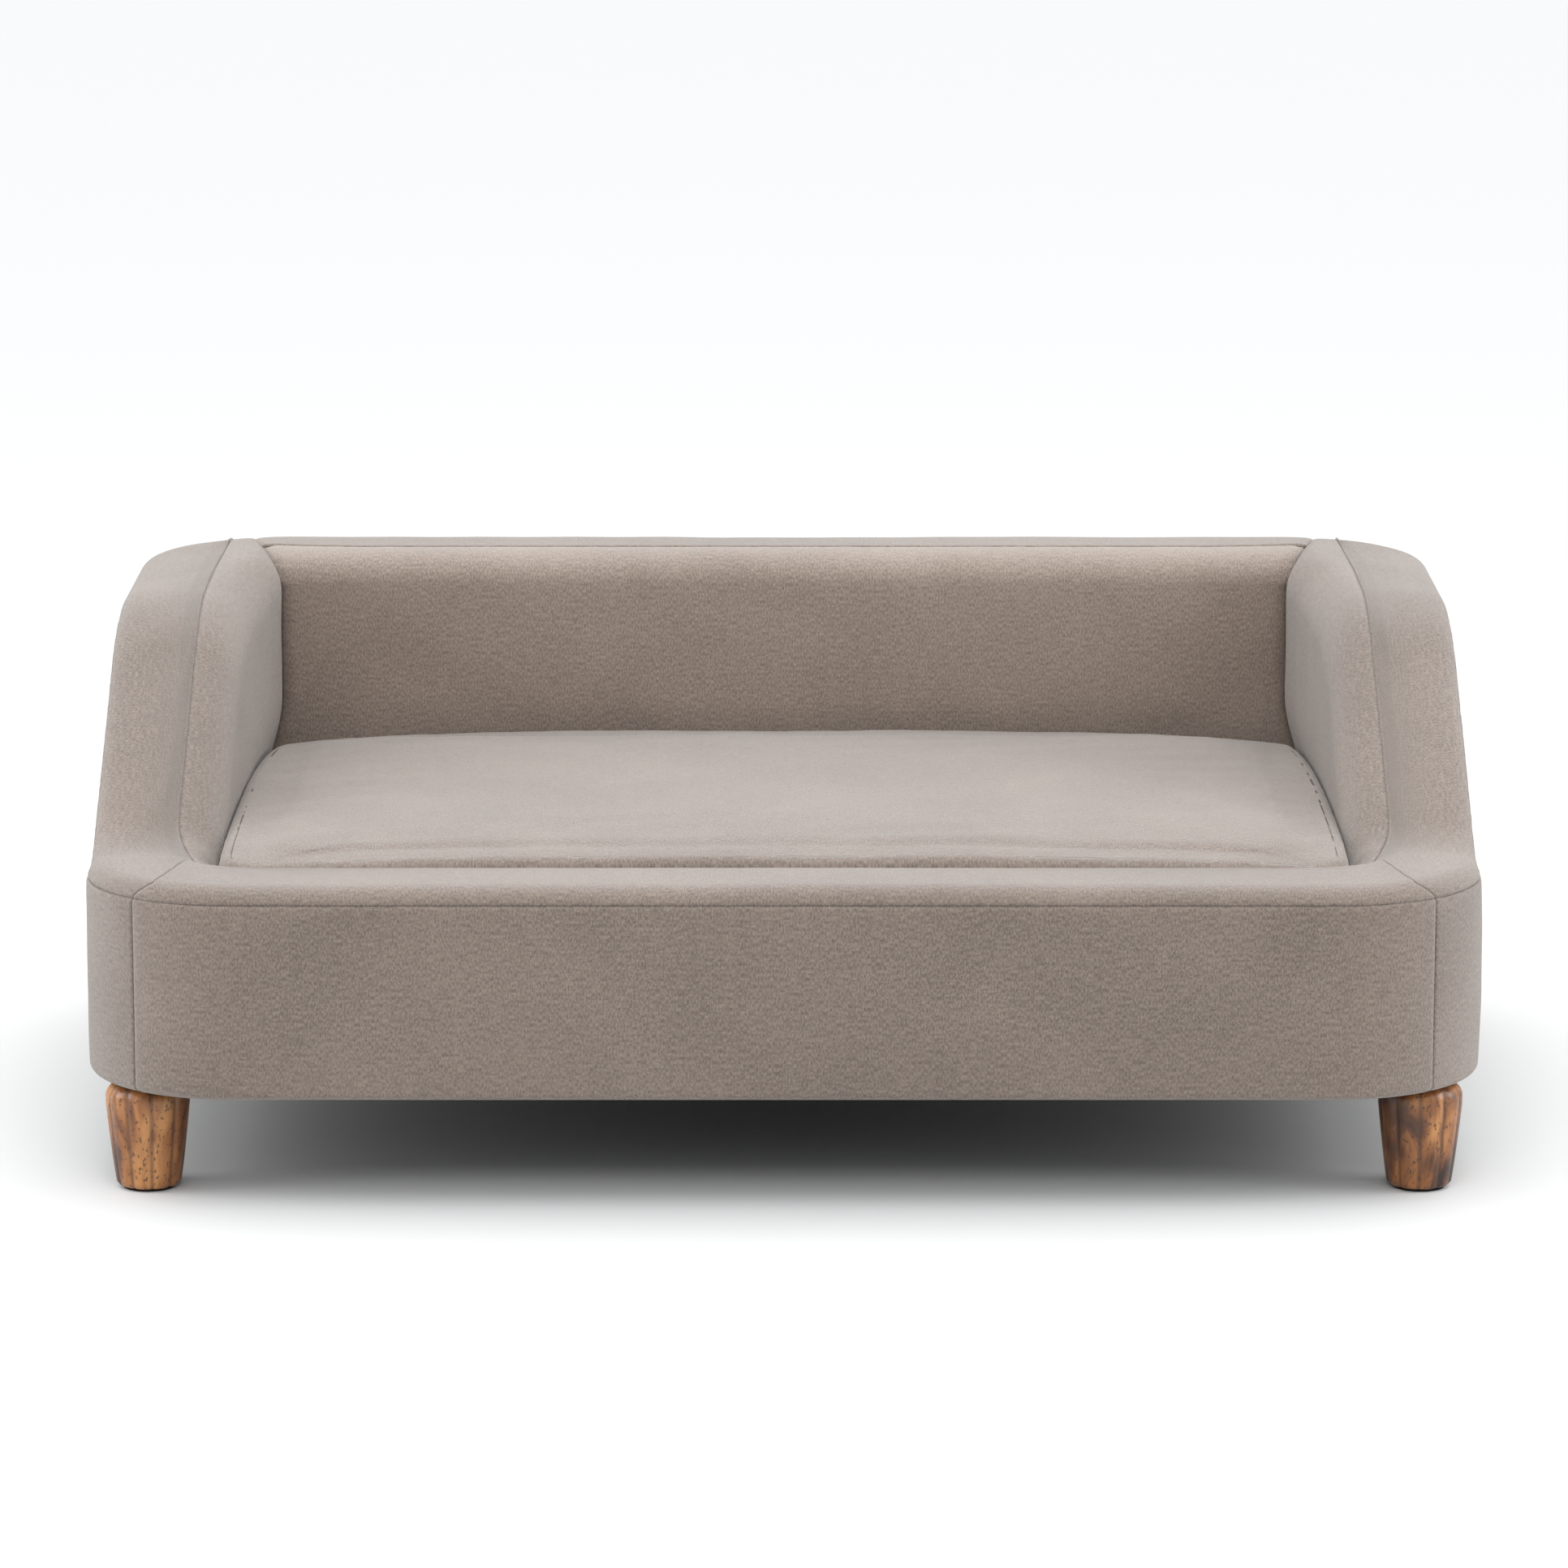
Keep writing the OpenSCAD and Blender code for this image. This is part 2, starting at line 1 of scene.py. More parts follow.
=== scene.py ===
import bmesh
import bpy
import numpy as np
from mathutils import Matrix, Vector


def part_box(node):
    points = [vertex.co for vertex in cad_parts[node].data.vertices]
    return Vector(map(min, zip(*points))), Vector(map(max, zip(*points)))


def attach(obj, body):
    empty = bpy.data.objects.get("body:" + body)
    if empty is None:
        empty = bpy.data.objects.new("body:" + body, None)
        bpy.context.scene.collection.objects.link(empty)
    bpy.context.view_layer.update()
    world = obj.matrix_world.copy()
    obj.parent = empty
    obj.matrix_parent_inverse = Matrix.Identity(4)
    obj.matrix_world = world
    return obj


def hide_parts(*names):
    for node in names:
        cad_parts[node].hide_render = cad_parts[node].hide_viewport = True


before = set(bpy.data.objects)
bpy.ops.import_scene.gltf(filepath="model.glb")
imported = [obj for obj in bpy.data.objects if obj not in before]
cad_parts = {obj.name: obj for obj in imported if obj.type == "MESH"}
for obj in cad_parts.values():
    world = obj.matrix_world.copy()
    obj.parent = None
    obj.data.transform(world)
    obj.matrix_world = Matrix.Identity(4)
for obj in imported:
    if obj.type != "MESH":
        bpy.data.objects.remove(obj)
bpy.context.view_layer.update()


# ---- Plywood frame: four upright boards, the seat deck and the beam under it ----
# Birch plywood boards, glued and dowelled to pine corner posts. The boards keep
# the CAD shapes and get a raw plywood finish with its long grain.
def bare_finish(name, roughness, specular=0.4):
    """A new material with one Principled shader on it: the material, its tree and the shader."""
    material = bpy.data.materials.new(name)
    material.use_nodes = True
    tree = material.node_tree
    shader = tree.nodes["Principled BSDF"]
    shader.inputs["Roughness"].default_value = roughness
    shader.inputs["Specular IOR Level"].default_value = specular
    return material, tree, shader


def wire(tree, kind, inputs, **settings):
    """One shader node. inputs gives a socket, by name or number, its value or the output that feeds it."""
    node = tree.nodes.new("ShaderNode" + kind)
    for key, value in settings.items():
        setattr(node, key, value)
    for key, value in inputs.items():
        if isinstance(value, bpy.types.NodeSocket):
            tree.links.new(value, node.inputs[key])
        else:
            node.inputs[key].default_value = value
    return node


def shades(tree, fed_by, stops):
    """A colour ramp; stops are (position, linear colour)."""
    node = wire(tree, "ValToRGB", {"Fac": fed_by})
    ramp = node.color_ramp
    ramp.elements[0].position = stops[0][0]
    ramp.elements[-1].position = stops[-1][0]
    for place, _ in stops[1:-1]:
        ramp.elements.new(place)
    for element, (_, colour) in zip(ramp.elements, stops):
        element.color = (*colour, 1)
    return node.outputs["Color"]


def own_place(tree):
    """The piece's own coordinates, in metres."""
    return wire(tree, "TexCoord", {}).outputs["Object"]


def noise(tree, at, scale, detail, **more):
    """Noise from 0 to 1, its features about 1 / scale of a metre across."""
    settings = {"Vector": at, "Scale": scale, "Detail": detail, **more}
    return wire(tree, "TexNoise", settings).outputs["Fac"]


def maths(tree, operation, *parts):
    """One step of arithmetic on outputs and numbers."""
    return wire(tree, "Math", dict(enumerate(parts)), operation=operation).outputs[0]


def ranged(tree, value, low, high, to_low, to_high):
    """A value from low to high, moved evenly onto to_low to to_high and held there past its ends."""
    settings = {"Value": value, "From Min": low, "From Max": high, "To Min": to_low, "To Max": to_high}
    return wire(tree, "MapRange", settings).outputs["Result"]


def emboss(tree, shader, height, strength, depth):
    """Fine relief from a height from 0 to 1."""
    relief = wire(tree, "Bump", {"Height": height, "Strength": strength, "Distance": depth})
    tree.links.new(relief.outputs["Normal"], shader.inputs["Normal"])


def raw_wood(name, pale, dark, stretch, roughness):
    """Long, slightly bent growth lines: noise drawn out by stretch, with fine pores over it."""
    material, tree, shader = bare_finish(name, roughness, 0.3)
    own = own_place(tree)
    drawn = wire(tree, "Mapping", {"Vector": own, "Scale": stretch}).outputs["Vector"]
    growth = noise(tree, drawn, 14.0, 6.0, Distortion=0.8)
    pores = noise(tree, drawn, 190.0, 2.0)
    half = maths(tree, "MULTIPLY", maths(tree, "ADD", growth, pores), 0.5)
    tree.links.new(shades(tree, half, [(0.38, dark), (0.62, pale)]), shader.inputs["Base Color"])
    emboss(tree, shader, half, 0.35, 0.0006)
    return material


def dress(node, material):
    """A CAD node keeps its shape and takes this material in every slot."""
    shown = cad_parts[node]
    shown.data.materials.clear()
    shown.data.materials.append(material)


plywood = raw_wood("raw_plywood", (0.62, 0.46, 0.27), (0.40, 0.26, 0.13), (1.0, 6.0, 9.0), 0.62)
for board in ("front_board", "back_board", "side_board_left", "side_board_right", "seat_deck"):
    dress(board, plywood)

# ---- Pine corner posts, battens and the centre beam ----
# Planed pine, screwed inside the boards; the posts take the leg bolts.
pine = raw_wood("planed_pine", (0.70, 0.52, 0.30), (0.46, 0.28, 0.12), (7.0, 7.0, 1.0), 0.55)
for place in ("front_left", "front_right", "back_left", "back_right"):
    dress("corner_post_" + place, pine)
pine_long = raw_wood("pine_battens", (0.70, 0.52, 0.30), (0.46, 0.28, 0.12), (1.2, 5.0, 8.0), 0.55)
for stick in ("front_batten", "back_batten", "side_batten_left", "side_batten_right", "centre_beam"):
    dress(stick, pine_long)


# ---- Fixings: deck screws, dowels, threaded inserts, hanger bolts and staples ----
# Zinc plated steel with fine drawing lines; the dowels are beech.
def plated_steel(name, colour, roughness):
    """Plated steel: a slow mottle in colour and roughness, and a fine scratched relief."""
    material, tree, shader = bare_finish(name, roughness, 0.5)
    shader.inputs["Metallic"].default_value = 1.0
    own = own_place(tree)
    mottle = noise(tree, own, 260.0, 4.0)
    darker = tuple(0.72 * part for part in colour)
    tree.links.new(shades(tree, mottle, [(0.3, darker), (0.7, colour)]), shader.inputs["Base Color"])
    worn = ranged(tree, mottle, 0.0, 1.0, roughness - 0.08, roughness + 0.1)
    tree.links.new(worn, shader.inputs["Roughness"])
    fine = noise(tree, own, 2400.0, 1.0)
    emboss(tree, shader, fine, 0.2, 0.00006)
    return material


zinc = plated_steel("zinc_steel", (0.60, 0.61, 0.62), 0.34)
for fixing in ("deck_screws", "leg_inserts", "hanger_bolts", "dust_cover_staples"):
    dress(fixing, zinc)
beech = raw_wood("beech_dowel", (0.66, 0.46, 0.28), (0.50, 0.30, 0.16), (2.0, 2.0, 2.0), 0.5)
dress("frame_dowels", beech)


# ---- Legs: four turned and reeded feet ----
# Dark stained hardwood, turned to a tapering belly with a round shoulder and cut
# into ten full reeds. Each is bolted up into its corner post.
def grid_mesh(name, grid, material, uv=None, second_uv=None, round_it=False):
    """A mesh from rows by columns of points. A face looks along columns x rows; round_it joins the last column
    to the first. uv and second_uv become the maps "weave" and "seams"."""
    rows, cols = grid.shape[:2]
    count = np.arange(rows * cols).reshape(rows, cols)
    if round_it:
        count = np.concatenate([count, count[:, :1]], 1)
    corners = np.stack([count[:-1, :-1], count[:-1, 1:], count[1:, 1:], count[1:, :-1]], -1).reshape(-1, 4)
    mesh = bpy.data.meshes.new(name)
    mesh.vertices.add(rows * cols)
    mesh.vertices.foreach_set("co", grid.reshape(-1).astype(np.float32))
    mesh.loops.add(corners.size)
    mesh.loops.foreach_set("vertex_index", corners.reshape(-1).astype(np.int32))
    mesh.polygons.add(len(corners))
    mesh.polygons.foreach_set("loop_start", np.arange(0, corners.size, 4, dtype=np.int32))
    mesh.polygons.foreach_set("use_smooth", np.ones(len(corners), bool))
    for title, laid in (("weave", uv), ("seams", second_uv)):
        if laid is not None:
            layer = mesh.uv_layers.new(name=title)
            spread = laid.reshape(-1, 2)[corners.reshape(-1)]
            layer.data.foreach_set("uv", spread.reshape(-1).astype(np.float32))
    mesh.update(calc_edges=True)
    mesh.validate()
    mesh.materials.append(material)
    piece = bpy.data.objects.new(name, mesh)
    bpy.context.collection.objects.link(piece)
    return piece


def weld(piece):
    """Joins points that lie together, so seams and poles are closed."""
    work = bmesh.new()
    work.from_mesh(piece.data)
    bmesh.ops.remove_doubles(work, verts=work.verts, dist=1e-6)
    bmesh.ops.dissolve_degenerate(work, edges=work.edges, dist=1e-7)
    work.to_mesh(piece.data)
    work.free()
    return piece


def stained_wood():
    """Brown stain over mottled wood: slanting growth lines, short dark pores, and painted shade in the
    grooves.
    """
    material, tree, shader = bare_finish("stained_walnut", 0.42, 0.5)
    shader.inputs["Coat Weight"].default_value = 0.25
    shader.inputs["Coat Roughness"].default_value = 0.3
    own = own_place(tree)
    lean = {"Vector": own, "Rotation": (0.35, 0.5, 0.2), "Scale": (1, 1, 0.35)}
    leaned = wire(tree, "Mapping", lean).outputs["Vector"]
    growth = noise(tree, leaned, 46.0, 5.0, Distortion=1.6)
    cloud = noise(tree, own, 21.0, 2.0)
    mixed = maths(tree, "ADD", growth, cloud)
    half = maths(tree, "MULTIPLY", mixed, 0.5)
    stain = shades(tree, half, [
        (0.36, (0.020, 0.007, 0.002)), (0.44, (0.10, 0.032, 0.008)),
        (0.51, (0.25, 0.090, 0.021)), (0.62, (0.45, 0.200, 0.062)),
    ])
    upright = wire(tree, "Mapping", {"Vector": own, "Scale": (1, 1, 0.45)}).outputs["Vector"]
    pits = wire(tree, "TexVoronoi", {"Vector": upright, "Scale": 640.0}, feature="F1").outputs["Distance"]
    sparse = noise(tree, own, 260.0, 1.0)
    pore_size = ranged(tree, sparse, 0.42, 0.62, 0.0, 0.46)
    pore = maths(tree, "LESS_THAN", pits, pore_size)
    pored = wire(tree, "Mix", {}, data_type="RGBA")
    tree.links.new(maths(tree, "MULTIPLY", pore, 0.72), pored.inputs[0])
    tree.links.new(stain, pored.inputs[6])
    pored.inputs[7].default_value = (0.045, 0.018, 0.009, 1)
    # Painted shade: the colour darkens towards the bottom of each groove between the reeds, where the leg is
    # shaded.
    reed_uv = wire(tree, "UVMap", {}, uv_map="weave").outputs["UV"]
    hollow = wire(tree, "SeparateXYZ", {"Vector": reed_uv}).outputs["X"]
    deep = ranged(tree, hollow, 0.72, 1.0, 0.0, 0.65)
    groove_shaded = wire(tree, "Mix", {}, data_type="RGBA")
    tree.links.new(deep, groove_shaded.inputs[0])
    tree.links.new(pored.outputs[2], groove_shaded.inputs[6])
    groove_shaded.inputs[7].default_value = (0.055, 0.022, 0.010, 1)
    tree.links.new(groove_shaded.outputs[2], shader.inputs["Base Color"])
    height = maths(tree, "SUBTRACT", growth, pore)
    emboss(tree, shader, height, 0.5, 0.0003)
    gloss = ranged(tree, growth, 0.0, 1.0, 0.5, 0.34)
    tree.links.new(gloss, shader.inputs["Roughness"])
    return material


REEDS = 10
REED_DEPTH = 0.0017
FOOT_R = 0.0208
BELLY_R = 0.0275
SHOULDER = 0.0085


def leg_grid(low, high, turn):
    """Turned profile, foot to belly to round shoulder, less the hollow between reeds: the reed's depth times
    1 - sqrt(1 - w^2), with w from 0 on a reed's crest to 1 in the groove."""
    centre = (low + high) / 2
    angle = np.linspace(0, 2 * np.pi, REEDS * 16, endpoint=False)[None, :]
    tall = high[2] - low[2]
    over = np.sin(np.linspace(0, np.pi / 2, 12))
    up = np.concatenate([np.linspace(0, 1, 34)[:-1] * (tall - SHOULDER), tall - SHOULDER * (1 - over)])
    shaft = FOOT_R + (BELLY_R - FOOT_R) * np.clip(up / (0.8 * tall), 0, 1) ** 0.82
    past = np.clip(up - tall + SHOULDER, 0, None) / SHOULDER
    rounding = SHOULDER * (1 - np.sqrt(np.clip(1 - past ** 2, 0, 1)))
    heel = 0.0012 * np.clip(1 - up / 0.0012, 0, 1) ** 2
    radius = (shaft - rounding - heel)[:, None]
    across = np.abs(((angle + turn) * REEDS / (2 * np.pi)) % 1 - 0.5) * 2
    cut = REED_DEPTH * (1 - np.sqrt(1 - (0.985 * across) ** 2)) * np.clip((tall - up) / 0.004, 0, 1)[:, None]
    radius = radius - cut
    x, y = centre[0] + radius * np.cos(angle), centre[1] + radius * np.sin(angle)
    ring = np.stack([x, y, low[2] + up[:, None] + 0 * radius], -1)
    sole = np.concatenate([ring[:1]] * 2)
    sole[0, :, :2] = centre[:2]
    sole[1, :, :2] = centre[:2] + 0.75 * (ring[0, :, :2] - centre[:2])
    head = ring[-1:].copy()
    head[0, :, :2] = centre[:2]
    points = np.concatenate([sole, ring, head])
    hollow = np.broadcast_to(across, (points.shape[0], across.shape[1]))
    return points, np.stack([hollow, np.broadcast_to(points[..., 2], hollow.shape)], -1)


walnut = stained_wood()
felt, felt_tree, felt_shader = bare_finish("pressed_felt", 0.95, 0.1)
felt_own = own_place(felt_tree)
felt_hair = noise(felt_tree, felt_own, 900.0, 5.0, Distortion=2.0)
felt_grey = shades(felt_tree, felt_hair, [(0.3, (0.008, 0.007, 0.006)), (0.7, (0.028, 0.024, 0.021))])
felt_tree.links.new(felt_grey, felt_shader.inputs["Base Color"])
emboss(felt_tree, felt_shader, felt_hair, 0.7, 0.0005)

for number, place in enumerate(("front_left", "front_right", "back_left", "back_right")):
    leg_low, leg_high = (np.array(corner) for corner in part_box("leg_" + place))
    leg_points, leg_uv = leg_grid(leg_low, leg_high, 0.13 + 0.9 * number)
    leg = weld(grid_mesh("reeded_leg_" + place, leg_points, walnut, leg_uv, round_it=True))
    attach(leg, "bed")
    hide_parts("leg_" + place)
    dress("felt_pad_" + place, felt)

# ---- Upholstery: the shape that the foam and the covers share ----
# The walls are wrapped in foam and covered with sewn panels. Their plan is a rounded rectangle, the side walls
# sweep up from the low front to the back, and the tops are rounded over. All that follows lies on this shape.
HALF_W = float(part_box("side_cover_right")[1][0])
HALF_D = float(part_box("back_cover")[1][1])
CORNER = 0.101
FLAT = HALF_W - CORNER
TURN = CORNER * np.pi / 2
SIDE = 2 * (HALF_D - CORNER)
RAIL = float(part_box("front_top_strip")[1][2])
BACK = float(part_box("back_top_strip")[1][2]) - 0.0016
UNDER = 0.0713
DECK = float(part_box("deck_cloth")[1][2])


def round_rectangle(station, inset, half, corner):
    """Plan point of a rounded rectangle: a length along it, from the middle of the front to the right, and an
    inset from it."""
    far = np.abs(station)
    flat, side, turn = half[0] - corner, 2 * (half[1] - corner), corner * np.pi / 2
    first = np.clip((far - flat) / corner, 0, np.pi / 2)
    along = np.clip(far - flat - turn, 0, side)
    second = np.clip((far - flat - turn - side) / corner, 0, np.pi / 2)
    last = np.clip(far - flat - 2 * turn - side, 0, flat)
    angle = first + second
    x = np.sign(station) * (np.minimum(far, flat) - last + (corner - inset) * np.sin(angle))
    y = corner - half[1] + along - (corner - inset) * np.cos(angle)
    return x, y


def place_at(station, inset):
    """A plan point of the bed's outline, inset from it."""
    return round_rectangle(station, inset, (HALF_W, HALF_D), CORNER)


def crest(y):
    """Height of the walls: low front, an arc up into a straight slope, an arc over into the level back."""
    start, top = -0.175, 0.026
    slope = np.arctan2(BACK - RAIL, top - start)
    foot, brow = 0.090, 0.160
    y0 = start - foot * np.tan(slope / 2)
    y1 = start + foot * np.tan(slope / 2) * np.cos(slope)
    y2 = top - brow * np.tan(slope / 2) * np.cos(slope)
    y3 = top + brow * np.tan(slope / 2)
    rise = RAIL + foot - np.sqrt(np.clip(foot ** 2 - np.clip(y - y0, 0, foot) ** 2, 0, None))
    over = BACK - brow + np.sqrt(np.clip(brow ** 2 - np.clip(y3 - y, 0, brow) ** 2, 0, None))
    line = RAIL + (y - start) * np.tan(slope)
    return np.select([y < y0, y < y1, y < y2, y < y3], [RAIL, rise, line, over], BACK)


ROUND_IN = 0.017
ROUND_UP = 0.015
ROUND_POWER = 2.2
SEAM_DROP = 0.011
SEAM_ANGLE = float(np.arcsin((1 - SEAM_DROP / ROUND_UP) ** (ROUND_POWER / 2)))


def outer_rounding(angle):
    """Superellipse over the outer edge: (inset, height under the crest) as the angle goes from the face, 0, to
    the top, pi/2."""
    inset = ROUND_IN * (1 - np.cos(angle) ** (2 / ROUND_POWER))
    return inset, ROUND_UP * (np.sin(angle) ** (2 / ROUND_POWER) - 1)


def outer_height(inset):
    """The same rounding as a height for an inset, with the slight dome of the top."""
    left = np.clip(1 - inset / ROUND_IN, 0, 1)
    dome = 0.0012 * np.clip(1 - inset / 0.035, 0, 1) ** 2
    return ROUND_UP * ((1 - left ** ROUND_POWER) ** (1 / ROUND_POWER) - 1) - dome


def eased(points, values, window=0.012):
    """A table read as a smooth line: straight between its points, then averaged over a window. Returns a
    function of the station."""
    fine = np.arange(points[0] - 3 * window, points[-1] + 3 * window, window / 6)
    line = np.interp(fine, points, values)
    shape = np.hanning(15)
    soft = np.convolve(np.pad(line, 7, mode="edge"), shape / shape.sum(), mode="valid")
    return lambda where: np.interp(where, fine, soft)


def arm_station(y):
    """The station whose plan point has this y on a straight arm."""
    return FLAT + TURN + (y + HALF_D - CORNER)


def along_wall(front, arm, window=0.012):
    """An eased table of (station, value) round the front and its corner, then (y, value) up the arm."""
    stations = [place for place, _ in front] + [arm_station(y) for y, _ in arm]
    values = [value for _, value in front] + [value for _, value in arm]
    return eased(np.array(stations), np.array(values), window)


# Insets from the outline: the inner seam, and the inner face. Then the inner shoulder's width and its depth.
seam_in = along_wall(
    [(0.0, 0.068), (0.272, 0.068), (0.330, 0.069), (0.356, 0.0715), (0.398, 0.0737), (0.449, 0.0746),
     (0.5147, 0.0715)],
    [(-0.199, 0.0695), (-0.175, 0.0605), (-0.160, 0.0568), (-0.140, 0.0565), (0.03, 0.0578), (0.15, 0.0572),
     (0.30, 0.0590)],
)
face_in = along_wall(
    [(0.0, 0.074), (0.342, 0.074), (0.356, 0.0775), (0.398, 0.0817), (0.449, 0.0846), (0.5147, 0.0852)],
    [(-0.10, 0.0855), (0.0, 0.0872), (0.06, 0.0885), (0.12, 0.0910), (0.17, 0.0950), (0.213, 0.1010),
     (0.235, 0.0920), (0.257, 0.0870), (0.280, 0.0800), (0.305, 0.0770)],
)
roll_in = along_wall(
    [(0.0, 0.012), (0.356, 0.013), (0.398, 0.016), (0.449, 0.022), (0.5147, 0.030)],
    [(-0.16, 0.038), (-0.10, 0.040), (0.08, 0.040), (0.15, 0.035), (0.213, 0.025), (0.235, 0.014),
     (0.280, 0.008)],
)
roll_down = along_wall(
    [(0.0, 0.012), (0.356, 0.012), (0.398, 0.015), (0.449, 0.020), (0.5147, 0.027)],
    [(-0.16, 0.035), (-0.12, 0.038), (0.08, 0.038), (0.15, 0.034), (0.213, 0.028), (0.235, 0.013),
     (0.280, 0.004)],
)


def inner_height(station, inset):
    """Height lost over the inner shoulder: a quarter ellipse, roll_in wide and roll_down deep, that ends at
    face_in."""
    wide = roll_in(station)
    past = np.clip((inset - face_in(station) + wide) / wide, 0, 1)
    return roll_down(station) * (np.sqrt(1 - past ** 2) - 1)


def ripple(u, v, size, seed):
    """Smooth, repeatable unevenness from -1 to 1: eight crossing waves of about one size, in metres."""
    draw = np.random.default_rng(seed)
    turn = draw.uniform(0, 2 * np.pi, 8)
    wave = 2 * np.pi / (size * draw.uniform(0.75, 1.6, 8))
    start = draw.uniform(0, 2 * np.pi, 8)
    total = sum(np.sin(wave[k] * (u * np.cos(turn[k]) + v * np.sin(turn[k])) + start[k]) for k in range(8))
    return total / 8 ** 0.5 / 1.4


def lengths(grid, axis):
    """Distance run along the grid's rows (0) or columns (1), from its first edge."""
    steps = np.linalg.norm(np.diff(grid, axis=axis), axis=-1)
    run = np.cumsum(steps, axis=axis)
    return np.concatenate([np.zeros_like(np.take(run, [0], axis)), run], axis)


def outward(grid):
    """Unit normals of a grid, columns x rows."""
    across = np.gradient(grid, axis=1)
    up = np.gradient(grid, axis=0)
    normal = np.cross(across, up)
    return normal / np.maximum(np.linalg.norm(normal, axis=-1, keepdims=True), 1e-12)


def pillow(distance, width, depth):
    """How far cloth is drawn in next to a seam: a quarter ellipse, steep at the seam and level at width."""
    near = np.clip(1 - distance / width, 0, 1)
    return depth * (1 - np.sqrt(1 - near ** 2))


def sew(grid, edges, seed, lumps=0.0006, folds=None):
    """Draws a panel in at its seams, with puckers along them, and lets it lie a little unevenly between.
    edges maps first_row, last_row, first_col and last_col to (width, depth). Returns the grid and its UVs."""
    across, up = lengths(grid, 1), lengths(grid, 0)
    middle = grid.shape[1] // 2
    run = across - across[:, middle:middle + 1]
    gaps = {
        "first_row": up, "last_row": up[-1:] - up, "first_col": across, "last_col": across[:, -1:] - across,
    }
    normal = outward(grid)
    pull = np.zeros(grid.shape[:2])
    away = np.full(grid.shape[:2], 0.05)
    beside = run.copy()
    for edge, (width, depth) in edges.items():
        gap = gaps[edge]
        trail = up if edge.endswith("col") else run
        pucker = ripple(trail, 0 * trail, 0.009, seed + 3)
        pull = np.maximum(pull, pillow(gap, width * (1 + 0.18 * pucker), depth))
        fold = ripple(trail, gap * 0.15, 0.0075, seed + 5) * np.exp(-gap / 0.007)
        pull = pull + 0.00022 * (depth / 0.0035) * fold
        # Shallow seams are set 0.6 mm farther off in the seams map, so the dark seam line, partly painted
        # groove shade, is thinner there.
        shown = gap + (0.0006 if depth < 0.001 else 0.0)
        beside = np.where(shown < away, trail, beside)
        away = np.minimum(away, shown)
    calm = np.clip(away / 0.02, 0, 1)
    if "first_row" not in edges:
        calm = calm * np.clip((up - 0.028) / 0.04, 0, 1)
    uneven = lumps * calm * (0.65 * ripple(run, up, 0.16, seed) + 0.35 * ripple(run, up, 0.055, seed + 1))
    if folds is not None:
        uneven = uneven + folds(grid, up)
    sewn = grid + normal * (uneven - pull)[..., None]
    return sewn, np.stack([run, up], -1), np.stack([beside, away], -1)


# ---- Foam: wraps on the outer faces, caps on the tops, pads on the inner faces ----
# Cream upholstery foam, glued to the boards. Each layer follows the cover that it fills, a little under it.
foam_finish, foam_tree, foam_shader = bare_finish("cut_foam", 0.9, 0.2)
foam_own = own_place(foam_tree)
foam_cells = wire(foam_tree, "TexVoronoi", {"Vector": foam_own, "Scale": 700.0}).outputs["Distance"]
foam_cloud = noise(foam_tree, foam_own, 18.0, 3.0)
foam_tone = maths(foam_tree, "MULTIPLY", foam_cells, foam_cloud)
foam_cream = shades(foam_tree, foam_tone, [(0.05, (0.60, 0.52, 0.36)), (0.5, (0.82, 0.76, 0.58))])
foam_tree.links.new(foam_cream, foam_shader.inputs["Base Color"])
emboss(foam_tree, foam_shader, foam_cells, 0.6, 0.0006)

CLOTH = 0.0016
CORNER_Y = 0.204
SPLIT = FLAT + CORNER * np.radians(39.8)
REAR_SPLIT = FLAT + TURN + SIDE + CORNER * np.radians(50.2)
HALF_ROUND = 2 * (FLAT + TURN) + SIDE


def outer_panel(start, end, cols, low=UNDER, crown=0.0015, rows=44):
    """Outer face between two stations: a turn-under, a small bottom rounding, an upright face, and the start
    of the top rounding."""
    station = np.linspace(start, end, cols)[None, :]
    foot = 0.0055
    bend = np.linspace(0, np.pi / 2, 7)[1:, None]
    under = np.linspace(0.025, foot, 6)[:, None]
    y = place_at(station, 0.0)[1]
    top = crest(y) - ROUND_UP
    lift = np.linspace(0, 1, rows)[1:, None]
    close = np.linspace(0, SEAM_ANGLE, 5)[1:, None]
    inset_top, height_top = outer_rounding(close)
    one = np.ones_like(station)
    wide = np.abs(np.sin(np.pi * (station - start) / (end - start))) ** 0.5
    belly = -crown * np.abs(np.sin(np.pi * lift)) ** 0.8 * wide
    inset = np.concatenate([under * one, foot * (1 - np.sin(bend)) * one, belly, inset_top * one])
    z = np.concatenate([
        low + 0 * under * one, low + foot * (1 - np.cos(bend)) * one,
        low + foot + (top - low - foot) * lift, crest(y) + height_top,
    ])
    x, y = place_at(station + 0 * inset, inset)
    return np.stack([x, y, z], -1)


# The mitre between the front strip and an arm strip runs back and inward from the corner seam.
mitre_turn = eased(
    np.array([0.0, 0.0007, 0.004, 0.010, 0.028, 0.045, 0.0596, 0.069]),
    np.radians([40.2, 39.8, 36.8, 34.0, 38.0, 46.6, 61.5, 88.0]), 0.0018,
)


def strip_rows(share, end_inset):
    """Insets of a strip's rows: over the rounding for shares under 0.4, then evenly to end_inset."""
    reach = np.minimum(end_inset, ROUND_IN)
    last = np.arccos(np.clip(1 - reach / ROUND_IN, 0, 1) ** (ROUND_POWER / 2))
    angle = SEAM_ANGLE + (last - SEAM_ANGLE) * np.clip(share / 0.4, 0, 1)
    return np.where(share < 0.4, outer_rounding(angle)[0], reach + (end_inset - reach) * (share - 0.4) / 0.6)


def mitre_station(share):
    """Station where each row of a strip meets the mitre; inset and turn settle in a few rounds."""
    station = np.full_like(share, SPLIT)
    for _ in range(12):
        station = FLAT + CORNER * mitre_turn(strip_rows(share, seam_in(station)))
    return station


